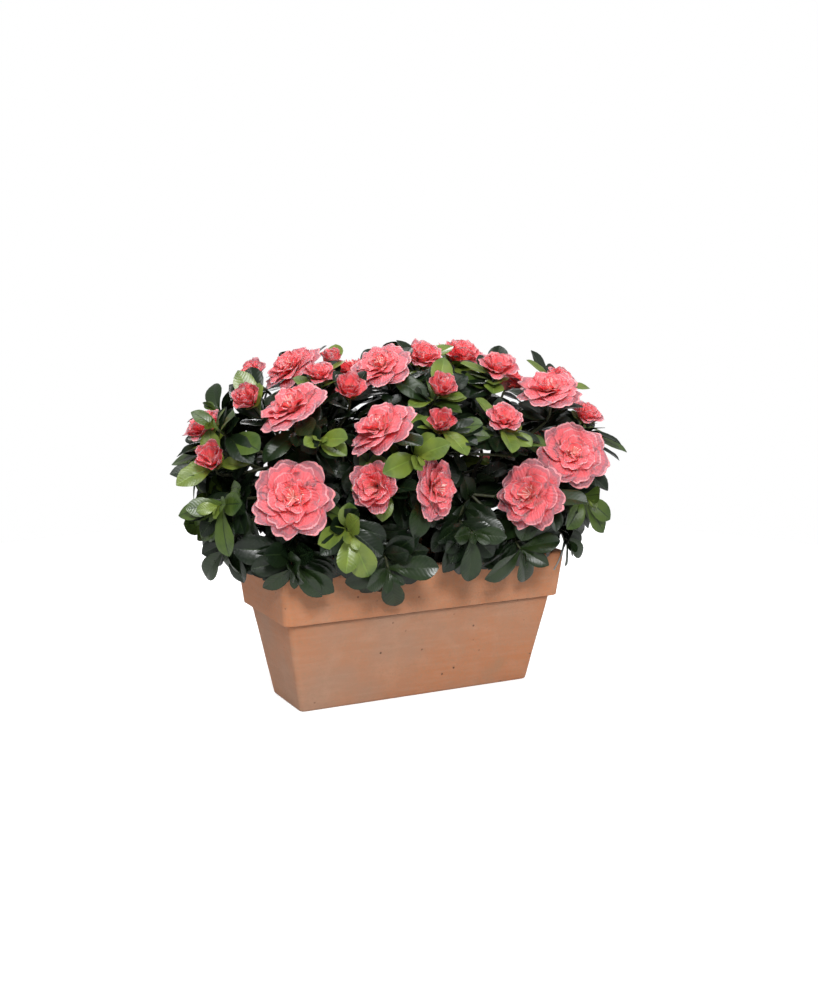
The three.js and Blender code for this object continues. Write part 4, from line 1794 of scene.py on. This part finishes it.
BUD_RINGS = (
    Ring(5, Petal(1.75, 0.6, 40, 34, -0.85, ruffle=0.08, cup=0.14, depth=0.86), 6),
    Ring(4, Petal(1.7, 0.5, 28, 26, -0.75, 0.04, 0.09, 0.03, 0.18, 0.8, 11), 8),
    Ring(4, Petal(1.6, 0.4, 14, 20, -0.65, 0.04, 0.1, 0.03, 0.2, 0.74, 9, FEW_STEPS), 9),
)


@dataclass
class Foliage:
    """All that grows: leaves, petals, sepals, stamens and the twigs that carry them.

    Widths and lengths of sepals and stamens are shares of their bloom's, leans are in degrees
    and wires' radii in millimetres, at their two ends. Each kind has a seed of its own.
    """

    skeleton: Skeleton
    jitter: float = 0.06
    sky_pull: float = 1.1
    roll_share: float = 0.5
    roll_most: float = 1.3
    roll_vary: float = 0.16
    roll_least_light: float = 0.2
    leaf_seed: int = 31
    size_seed: int = 3
    bloom_seed: int = 17
    sepal_seed: int = 53
    sepal_count: int = 5
    sepal_length: float = 1.1
    sepal_lengths: tuple[float, float] = (0.75, 1.1)
    sepal_width: float = 0.34
    sepal_root: float = 0.98
    sepal_leans: dict[Kind, float] = field(default_factory=lambda: {BUD: 46, HALF: 60})
    sepal_lean_vary: float = 0.2
    sepal_aside: float = 0.15
    stamen_seed: int = 61
    stamen_count: int = 7
    stamen_length: float = 0.2
    stamen_lengths: tuple[float, float] = (0.7, 1.0)
    stamen_root: float = 0.08
    stamen_leans: tuple[float, float] = (10, 42)
    stamen_aside: float = 0.3
    stamen_bow: float = 0.06
    stamen_radii: tuple[float, float] = (0.25, 0.42)
    stamen_sides: int = 5
    stem_radii: tuple[float, float] = (1.7, 1.8)
    stem_points: int = 10
    twig_radii: tuple[float, float] = (1.5, 1.2)
    twig_points: int = 14
    twig_sides: int = 6

    def leaves(self, leaves: Sequence[Leaf]) -> list[Object]:
        """Set a leaf template on every leaf of the rule, one piece for each dye.

        Args:
            leaves: The leaves of the rule.

        Returns:
            The pieces.
        """
        press = LeafPress()
        templates = press.templates()
        rng = np.random.default_rng(self.leaf_seed)
        pieces = []
        for tone, aspect in LEAF_ASPECTS.items():
            rib = Tone.PALE_RIB if tone in (Tone.LIGHT, Tone.YOUNG) else Tone.RIB
            spots = [
                Spot(
                    leaf.root,
                    self._lit(leaf, rng.normal(0, self.roll_vary)),
                    np.array([1, aspect / 2, 1]) * leaf.length,
                    int(rng.integers(press.variants)),
                )
                for leaf in leaves
                if leaf.tone == tone
            ]
            cloths = [LEAF_CLOTHS[tone].material(), LEAF_CLOTHS[rib].material()]
            name = "leaves_" + tone.name.lower()
            scatter = Scatter(name + "_tree", cloths)
            seed = self.size_seed + tone
            pieces.append(scatter.grow(name, spots, templates, self.jitter, seed))
        return pieces

    def _lit(self, leaf: Leaf, chance: float) -> Array:
        """Return a leaf's axes, rolled about its own line so that it looks to the light.

        Args:
            leaf: The leaf.
            chance: How far it rolls by chance, in radians.

        Returns:
            Its line, its side and its upper face's way.
        """
        crown = self.skeleton.crown
        light = unit((leaf.root - crown.centre) / crown.half) + (0, 0, self.sky_pull)
        aside, over = float(light @ leaf.across), float(light @ leaf.upper)
        is_lit = math.hypot(aside, over) > self.roll_least_light
        roll = self.roll_share * math.atan2(aside, over) if is_lit else 0
        roll = max(-self.roll_most, min(self.roll_most, roll)) + chance
        upper = leaf.upper * math.cos(roll) + leaf.across * math.sin(roll)
        return np.array([leaf.way, np.cross(upper, leaf.way), upper])

    def blooms(self) -> list[Object]:
        """Set a bloom template on every shoot that flowers, one piece for each kind.

        Returns:
            The pieces.
        """
        cloths = [PETAL_CLOTHS[zone].material() for zone in Zone]
        scatter = Scatter("petal_tree", cloths)
        presses = {
            OPEN: BloomPress("bloom_open", OPEN_RINGS, 6, 200),
            HALF: BloomPress("bloom_half", HALF_RINGS, 4, 300),
            BUD: BloomPress("bloom_bud", BUD_RINGS, 4, 400),
        }
        rng = np.random.default_rng(self.bloom_seed)
        pieces = []
        for kind, press in presses.items():
            spots = []
            for number, shoot in enumerate(s for s in self.skeleton.shoots if s.kind == kind):
                axes = facing_axes(shoot.facing, rng.uniform(0, math.tau))
                stretch = np.full(3, shoot.size / 2)
                spots.append(Spot(shoot.tip, axes, stretch, number % press.variants))
            name = "petals_" + kind.value
            pieces.append(scatter.grow(name, spots, press.templates()))
        return pieces

    def sepals(self) -> Object:
        """Hug each bud and half-open bloom with a cup of young green sepals.

        Returns:
            The piece.
        """
        press = LeafPress(
            "sepal_press", rows=8, stalk=0.0, stalk_width=0.3, rib_width=0.05,
            fold=(0.1, 0.2), droop=(-0.16, -0.04), variants=3,
        )
        rng = np.random.default_rng(self.sepal_seed)
        spots = []
        for shoot in self.skeleton.shoots:
            if shoot.kind not in self.sepal_leans:
                continue
            root = shoot.tip - shoot.facing * shoot.depth * self.sepal_root
            slope = math.radians(self.sepal_leans[shoot.kind])
            axes = facing_axes(shoot.facing, rng.uniform(0, math.tau))
            for number in range(self.sepal_count):
                shift = number + rng.uniform(-self.sepal_aside, self.sepal_aside)
                lean = slope + rng.uniform(0, self.sepal_lean_vary)
                way, spoke = leaned(axes, shift * math.tau / self.sepal_count, lean)
                upper = shoot.facing * math.sin(lean) - spoke * math.cos(lean)
                length = shoot.size / 2 * self.sepal_length * rng.uniform(*self.sepal_lengths)
                stretch = np.array([1, self.sepal_width, 1]) * length
                turned = np.array([way, np.cross(upper, way), upper])
                spots.append(Spot(root, turned, stretch, int(rng.integers(press.variants))))
        cloths = [LEAF_CLOTHS[Tone.YOUNG].material(), LEAF_CLOTHS[Tone.PALE_RIB].material()]
        return Scatter("sepal_tree", cloths).grow("sepals", spots, press.templates())

    def stamens(self) -> Object:
        """Stand a tuft of pale threads in the heart of each open bloom.

        Returns:
            The piece.
        """
        rng = np.random.default_rng(self.stamen_seed)
        lines = []
        for shoot in self.skeleton.shoots:
            if shoot.kind != OPEN:
                continue
            axes = facing_axes(shoot.facing, rng.uniform(0, math.tau))
            root = shoot.tip - shoot.facing * shoot.size * self.stamen_root
            for number in range(self.stamen_count):
                shift = rng.uniform(-self.stamen_aside, self.stamen_aside)
                turn = number * math.tau / self.stamen_count + shift
                way, spoke = leaned(axes, turn, math.radians(rng.uniform(*self.stamen_leans)))
                length = shoot.size * self.stamen_length * rng.uniform(*self.stamen_lengths)
                middle = root + way * length / 2 + spoke * length * self.stamen_bow
                lines.append((np.array([root, middle, root + way * length]), *self.stamen_radii))
        thread = Filament("stamen_thread", linear(252, 214, 204))
        return WireTree().draw("stamens", lines, self.stamen_sides, thread.material())

    def twigs(self) -> Object:
        """Draw the stem of each mass and its twigs as wires.

        Returns:
            The piece.
        """
        lines = []
        for mass in self.skeleton.masses:
            shares = np.linspace(0, 1, self.stem_points)
            lines.append((mass.curve.at(shares), *self.stem_radii))
            for shoot in mass.shoots:
                shares = np.linspace(0, 1, self.twig_points)
                lines.append((shoot.twig.at(shares), *self.twig_radii))
        cover = StemCover("twig_cover", linear(44, 47, 30), linear(72, 76, 46))
        return WireTree().draw("twigs", lines, self.twig_sides, cover.material())


def leaned(axes: Array, turn: float, lean: float) -> tuple[Array, Array]:
    """Lean from the third axis to a side, in radians, and return both the lean's way and it."""
    spoke = axes[0] * math.cos(turn) + axes[1] * math.sin(turn)
    return axes[2] * math.cos(lean) + spoke * math.sin(lean), spoke


def facing_axes(facing: Array, spin: float) -> Array:
    """Find three axes, the last one the facing.

    Args:
        facing: Where they face.
        spin: Their turn about it, in radians.

    Returns:
        The axes, as rows.
    """
    side = unit(np.cross(facing, np.array([0.0, 0.0, 1.0]) + 1e-6))
    over = np.cross(facing, side)
    first = side * math.cos(spin) + over * math.sin(spin)
    return np.array([first, np.cross(facing, first), facing])


class WireTree(PieceTree):
    """Gives lines a round section, by their points' radius."""

    def __init__(self) -> None:
        """Build the tree."""
        inputs = {"Lines": "Geometry", "Sides": "Int", "Thickness": "Float", "Finish": "Material"}
        super().__init__("wire", inputs)
        source = self.source
        circle = {"Resolution": source["Sides"], "Radius": source["Thickness"]}
        drawn = self.add("GeometryNodeCurveToMesh", {
            "Curve": source["Lines"],
            "Profile Curve": self.add("GeometryNodeCurvePrimitiveCircle", circle).outputs[0],
            "Scale": self.add("GeometryNodeInputRadius").outputs[0],
            "Fill Caps": True,
        })
        smooth = self.add("GeometryNodeSetShadeSmooth", {"Geometry": drawn.outputs[0]})
        real = self.add("GeometryNodeRealizeInstances", {"Geometry": smooth.outputs[0]})
        covered = {"Geometry": real.outputs[0], "Material": source["Finish"]}
        self.add("NodeGroupOutput", {0: self.add("GeometryNodeSetMaterial", covered).outputs[0]})

    def draw(
        self,
        name: str,
        lines: Sequence[tuple[Array, float, float]],
        sides: int,
        material: Material,
    ) -> Object:
        """Draw lines as wires.

        Args:
            name: The piece's name.
            lines: Each line's points and its radius at both ends, in millimetres.
            sides: Faces round a wire.
            material: The wires' finish.

        Returns:
            A plain mesh object.
        """
        curve = bpy.data.curves.new(name + "_lines", "CURVE")
        curve.dimensions = "3D"
        for points, first, last in lines:
            spline = curve.splines.new("POLY")
            spline.points.add(len(points) - 1)
            flat = np.c_[points * MM, np.ones(len(points))]
            spline.points.foreach_set("co", flat.astype(np.float32).ravel())
            radii = np.linspace(first, last, len(points)) * MM
            spline.points.foreach_set("radius", radii.astype(np.float32))
        carrier = show(name + "_lines", curve)
        return self.piece(name, carrier, {"Sides": sides, "Thickness": 1.0, "Finish": material})


@dataclass
class Limbs:
    """The stems and boughs, with ridges and knots in their relief."""

    skeleton: Skeleton
    foot: float = 5.5
    neck: float = 4.0
    flare: float = 3.0
    flare_end: float = 0.25
    bough_base: float = 2.3
    bough_tip: float = 1.7
    sides: int = 16
    rings: int = 28
    ridge: float = 0.18
    grain: tuple[float, float, float] = (0.35, 0.35, 0.07)
    knots: float = 2.3
    knot_share: float = 0.5
    smooth_rings: int = 2

    def _relief(self, path: Array, radii: Array, work: Patchwork) -> None:
        """Add a limb whose skin is ridged along its length.

        Args:
            path: The points of its middle line.
            radii: Its radius at each of them.
            work: What it is added to.
        """
        work.tube(path, radii, self.sides)
        rows = work.points[-1].reshape(len(path), self.sides, 3)
        out = rows - path[:, None]
        for ring in range(len(path)):
            to_end = min(ring, len(path) - 1 - ring)
            ease = min(1.0, to_end / self.smooth_rings)
            for side in range(self.sides):
                place = Vector(rows[ring, side] * self.grain)
                lift = noise.noise(place) + self.knot_share * noise.noise(place * self.knots)
                rows[ring, side] += out[ring, side] * self.ridge * lift * ease
        work.points[-1] = rows.reshape(-1, 3)

    def build(self) -> Object:
        """Build the piece.

        Returns:
            The stems and boughs as one mesh object.
        """
        work = Patchwork()
        shares = np.linspace(0, 1, self.rings)
        spread = self.flare * np.maximum(0, 1 - shares / self.flare_end) ** 2
        stem_radii = np.interp(shares, [0, 1], [self.foot, self.neck]) + spread
        bough_radii = np.interp(shares, [0, 1], [self.bough_base, self.bough_tip])
        for stem in self.skeleton.stems:
            self._relief(stem.curve.at(shares), stem_radii, work)
            for mass in stem.masses:
                self._relief(mass.bough.at(shares), bough_radii, work)
        piece = show("stems_and_boughs", work.mesh("stems_and_boughs", MM))
        cover = StemCover("stem_cover", linear(44, 40, 28), linear(78, 74, 50))
        piece.data.materials.append(cover.material())
        return piece


@dataclass
class Trough:
    """The terracotta trough: a tapered body under a thick rim band, open at the top."""

    length: float = 290
    width: float = 120
    height: float = 130
    band: float = 43
    band_draft: float = 4.5
    ledge: float = 5.5
    taper: float = 26
    wall: float = 9
    floor: float = 12
    round_edge: float = 2.4
    corner: float = 8
    corner_shrink: float = 0.15
    corner_least: float = 3
    corner_steps: int = 8
    long_steps: int = 36
    short_steps: int = 14
    body_edge: float = 0.5
    band_edge: float = 1.0
    floor_edge: float = 3.0
    cove: tuple[tuple[float, float], ...] = ((0.2, 2.4), (1.2, 0.9))
    band_drop: float = 0.4
    edge_steps: int = 5
    wall_step: float = 6
    uneven: float = 0.7
    swells: tuple[float, float] = (0.028, 0.09)
    fine_share: float = 0.4
    # How many rows past the rim's top the dark inside finish begins, which is partly peat stain and
    # partly painted shade.
    stain_and_shade_below: int = 7

    def inside(self, height: float) -> float:
        """Return how far the inner wall is inside the rim at a height."""
        share = (height - self.floor) / (self.height - self.floor)
        return self.wall + self.taper * (1 - share)

    def ring(self, inset: float, height: float) -> Array:
        """Return a round-cornered rectangle of points.

        Args:
            inset: How far it is inside the rim, on every side.
            height: Its height.

        Returns:
            The points, anticlockwise from above.
        """
        radius = max(self.corner - inset * self.corner_shrink, self.corner_least)
        x = self.length / 2 - inset - radius
        y = self.width / 2 - inset - radius
        found = []
        corners = ((x, y), (-x, y), (-x, -y), (x, -y))
        for number, (cx, cy) in enumerate(corners):
            angles = (number + np.linspace(0, 1, self.corner_steps)) * math.pi / 2
            found.extend((cx + radius * math.cos(a), cy + radius * math.sin(a)) for a in angles)
            steps = self.long_steps if number % 2 == 0 else self.short_steps
            end = (number + 1) * math.pi / 2
            nx, ny = corners[(number + 1) % 4]
            offset = np.array([radius * math.cos(end), radius * math.sin(end)])
            start, stop = np.array([cx, cy]) + offset, np.array([nx, ny]) + offset
            found.extend(start + (stop - start) * k / steps for k in range(1, steps))
        flat = np.array([tuple(point) for point in found])
        return np.c_[flat, np.full(len(flat), height)]

    def profile(self) -> list[tuple[float, float]]:
        """Follow the wall from its outside foot to the inside floor.

        Returns:
            How far each place is inside the rim, and its height.
        """
        band_foot = self.height - self.band
        body_top = self.band_draft + self.ledge
        corners = [
            (self.taper, 0, self.round_edge),
            *((body_top + inset, band_foot - drop, self.body_edge) for inset, drop in self.cove),
            (self.band_draft, band_foot - self.band_drop, self.band_edge),
            (0, self.height, self.round_edge),
            (self.wall, self.height, self.round_edge),
            (self.inside(self.floor), self.floor, self.floor_edge),
        ]
        ends = [(self.length / 4, 0)] + [c[:2] for c in corners] + [(self.length / 4, self.floor)]
        found: list[tuple[float, float]] = []
        for number, (inset, height, radius) in enumerate(corners, 1):
            here = np.array([inset, height])
            before = unit(np.array(ends[number - 1]) - here) * radius
            after = unit(np.array(ends[number + 1]) - here) * radius
            shares = np.linspace(0, 1, self.edge_steps)
            line = Bend(here + before, here, here + after).at(shares)
            if found:
                start = np.array(found[-1])
                steps = max(2, int(np.linalg.norm(line[0] - start) / self.wall_step))
                found.extend(
                    tuple(start + (line[0] - start) * k / steps) for k in range(1, steps)
                )
            found.extend(tuple(point) for point in line)
        return found

    def build(self) -> Object:
        """Build the piece.

        Returns:
            The trough as one closed mesh object.
        """
        rows = np.array([self.ring(inset, height) for inset, height in self.profile()])
        for place in rows.reshape(-1, 3):
            broad, fine = (noise.noise(Vector(place * scale)) for scale in self.swells)
            way = np.array([place[0] / self.length, place[1] / self.width, 0])
            place += way * self.uneven * (broad + self.fine_share * fine)
        rows[0, :, 2] = 0
        highest = int(rows[:, 0, 2].argmax())
        # Rows inside, below the rim, take the dark finish: peat stain and painted shade.
        within = np.arange(len(rows) - 1) > highest + self.stain_and_shade_below
        work = Patchwork()
        work.grid(rows, within[:, None].astype(int), closed=True)
        piece = show("trough_fired_clay", work.mesh("trough_fired_clay", MM))
        for finish in (Terracotta(), PEAT_STAIN_AND_SHADE):
            piece.data.materials.append(finish.material())
        piece.data.polygons.foreach_set("material_index", np.array(work.zones, dtype=np.int32))
        return piece


@dataclass
class Filling:
    """Foam that fills the trough, under a lumpy layer of dark granules."""

    trough: Trough
    below_rim: float = 14
    clear: float = 0.3
    rings: int = 16
    innermost: float = 0.96
    sunk: float = 3
    raised: float = 0.6
    lump: float = 2.2
    lumps: float = 0.11
    granules: int = 3600
    granule: float = 1.5
    granule_sizes: tuple[float, float] = (0.6, 1.3)
    granule_room: float = 2
    heaped: float = 0.8
    chips: int = 3
    chip_reach: tuple[float, float] = (0.7, 1.2)
    seed: int = 88

    def build(self) -> list[Object]:
        """Build the bed and the granules on it.

        Returns:
            The two pieces.
        """
        top = self.trough.height - self.below_rim
        low = self.trough.floor + self.clear
        edge = self.trough.inside(top) + self.clear
        rows = [self.trough.ring(self.trough.inside(low) + self.clear, low)]
        for share in np.linspace(0, self.innermost, self.rings):
            ring = self.trough.ring(edge, top - self.sunk) * (1 - share, 1 - share, 1)
            for point in ring:
                point[2] += self.lump * noise.noise(Vector(point * self.lumps)) + self.raised
            rows.append(ring)
        bed = Patchwork()
        bed.grid(np.array(rows), closed=True)
        ground = show("filling_bed", bed.mesh("filling_bed", MM))
        finish = Granules().material()
        ground.data.materials.append(finish)
        return [ground, self._scatter(top - self.sunk, edge, finish)]

    def _scatter(self, low: float, edge: float, finish: Material) -> Object:
        """Lay loose granules on the bed.

        Args:
            low: How high the bed is where it is lowest.
            edge: How far inside the trough's rim it ends.
            finish: The granules' finish.

        Returns:
            The piece.
        """
        rng = np.random.default_rng(self.seed)
        sides = np.array([self.trough.length, self.trough.width])
        half = sides / 2 - edge - self.granule_room
        spots = []
        for _ in range(self.granules):
            x, y = rng.uniform(-half, half)
            bed = low + self.raised + self.lump * noise.noise(Vector((x, y, low)) * self.lumps)
            axes = np.array(Matrix.Rotation(rng.uniform(0, math.tau), 3, unit(rng.normal(size=3))))
            size = self.granule * rng.uniform(*self.granule_sizes, 3)
            place = np.array([x, y, bed + rng.uniform(0, self.heaped)])
            spots.append(Spot(place, axes, size, int(rng.integers(self.chips))))
        chips = template_set("chips", [self._chip(n) for n in range(self.chips)])
        return Scatter("granule_tree", [finish]).grow("filling_granules", spots, chips)

    def _chip(self, number: int) -> Mesh:
        """Make one crumb of eight rough sides.

        Args:
            number: Which variant.

        Returns:
            The crumb, about one from its middle to its corners.
        """
        rng = np.random.default_rng(self.seed + number)
        corners = np.array([(0, 0, 1), (1, 0, 0), (0, 1, 0), (-1, 0, 0), (0, -1, 0), (0, 0, -1)])
        mesh = bpy.data.meshes.new(f"chip_{number}")
        points = corners * rng.uniform(*self.chip_reach, (6, 1))
        sides = [(k, k % 4 + 1) for k in range(1, 5)]
        faces = [(0, a, b) for a, b in sides] + [(5, b, a) for a, b in sides]
        mesh.from_pydata(points.tolist(), [], faces)
        mesh.attributes.new("zone", "INT", "FACE")
        return mesh


@dataclass(frozen=True)
class Lamp:
    """A square soft light: its bearing and rise in degrees, its side in metres, its watts."""

    name: str
    bearing: float
    rise: float
    side: float
    power: float


@dataclass
class Studio:
    """A plain pale floor, soft lights and a camera where the photograph was taken from."""

    bearing: float = -26.5
    rise: float = 10.9
    distance: float = 1.3
    target: tuple[float, float, float] = (0, 0, 0.15)
    lens: float = 49.68
    sensor: float = 36
    shift: tuple[float, float] = (0.007, 0.0323)
    nearest: float = 0.05
    floor_radius: float = 0.9
    floor_corners: int = 64
    ambient: float = 0.38
    lamp_distance: float = 1.8
    lamps: tuple[Lamp, ...] = (
        Lamp("key", -62, 50, 0.45, 11), Lamp("front", -20, 32, 0.4, 26),
        Lamp("fill", 60, 30, 0.8, 8), Lamp("back", 160, 32, 0.8, 14), Lamp("top", 10, 86, 0.7, 11),
    )

    def aimed(self, data: ID, bearing: float, rise: float, distance: float) -> Object:
        """Put a camera or light in the scene, which looks at the object.

        Args:
            data: The camera or light.
            bearing: Where it stands, in degrees from the front.
            rise: How high, in degrees.
            distance: How far from the target.

        Returns:
            Its object.
        """
        held = show(data.name, data)
        back = Vector(direction(bearing, rise))
        held.location = Vector(self.target) + back * distance
        held.rotation_euler = back.to_track_quat("Z", "Y").to_euler()
        return held

    def camera(self) -> None:
        """Set up the camera."""
        data = bpy.data.cameras.new("camera")
        data.lens = self.lens
        data.sensor_width = self.sensor
        data.shift_x, data.shift_y = self.shift
        data.clip_start = self.nearest
        bpy.context.scene.camera = self.aimed(data, self.bearing, self.rise, self.distance)

    def floor(self) -> None:
        """Lay the floor."""
        turns = np.linspace(0, math.tau, self.floor_corners, endpoint=False)
        rim = [(self.floor_radius * math.cos(a), self.floor_radius * math.sin(a), 0) for a in turns]
        mesh = bpy.data.meshes.new("floor")
        mesh.from_pydata(rim, [], [list(range(len(rim)))])
        mesh.materials.append(Paper().material())
        show("floor", mesh)

    def air(self) -> World:
        """Make white surroundings that give the object only a dim, even light.

        Returns:
            The world.
        """
        world = bpy.data.worlds.new("studio_air")
        world.use_nodes = True
        nodes = Nodes(world.node_tree)
        seen = nodes.add("ShaderNodeLightPath").outputs["Is Camera Ray"]
        level = nodes.add("ShaderNodeMapRange", {"Value": seen, "To Min": self.ambient})
        background = world.node_tree.nodes["Background"]
        background.inputs["Color"].default_value = (1, 1, 1, 1)
        world.node_tree.links.new(level.outputs[0], background.inputs["Strength"])
        return world

    def build(self) -> None:
        """Set up floor, surroundings, lamps and camera."""
        self.floor()
        bpy.context.scene.world = self.air()
        bpy.context.scene.view_settings.view_transform = "Standard"
        for lamp in self.lamps:
            data = bpy.data.lights.new(lamp.name, "AREA")
            data.shape = "SQUARE"
            data.size = lamp.side
            data.energy = lamp.power
            self.aimed(data, lamp.bearing, lamp.rise, self.lamp_distance)
        self.camera()


def corners(box: Sequence) -> list[list[float]]:
    """Return a box's two corners as plain lists of numbers."""
    return [[float(value) for value in corner] for corner in box]


def attach(piece: Object, slot: str, *nodes: str) -> None:
    """Let a piece ride on the body and stand for nodes, and log it.

    Args:
        piece: The finished piece.
        slot: The record's material slot; not used.
        *nodes: The nodes that it stands for.
    """
    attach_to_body(piece, BODY)
    if nodes:
        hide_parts(*nodes)
    triangles = sum(len(face.vertices) - 2 for face in piece.data.polygons)
    log.info("%s: %d triangles, %d finishes", piece.name, triangles, len(piece.data.materials))


def main() -> None:
    """Build the plant, the trough and the studio, and attach each piece."""
    logging.basicConfig(level=logging.INFO, format="%(message)s")
    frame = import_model()
    nodes = sorted(frame["nodes"])

    Studio().build()
    trough = Trough()
    attach(trough.build(), "terracotta", "trough")
    bed, granules = Filling(trough).build()
    attach(bed, "filling", "filling")
    attach(granules, "filling")

    skeleton = Skeleton()
    limbs = [name for name in nodes if name.startswith(("stem_", "bough_"))]
    attach(Limbs(skeleton).build(), "stems", *limbs)
    foliage = Foliage(skeleton)
    attach(foliage.twigs(), "stems")
    masses = [name for name in nodes if name.startswith("foliage_")]
    leaves = LeafRule(skeleton).grow()
    log.info("%d leaves", len(leaves))
    for number, piece in enumerate(foliage.leaves(leaves)):
        attach(piece, "foliage", *(masses if number == 0 else ()))
    for piece in (*foliage.blooms(), foliage.sepals(), foliage.stamens()):
        attach(piece, "foliage")


if __name__ == "__main__":
    main()
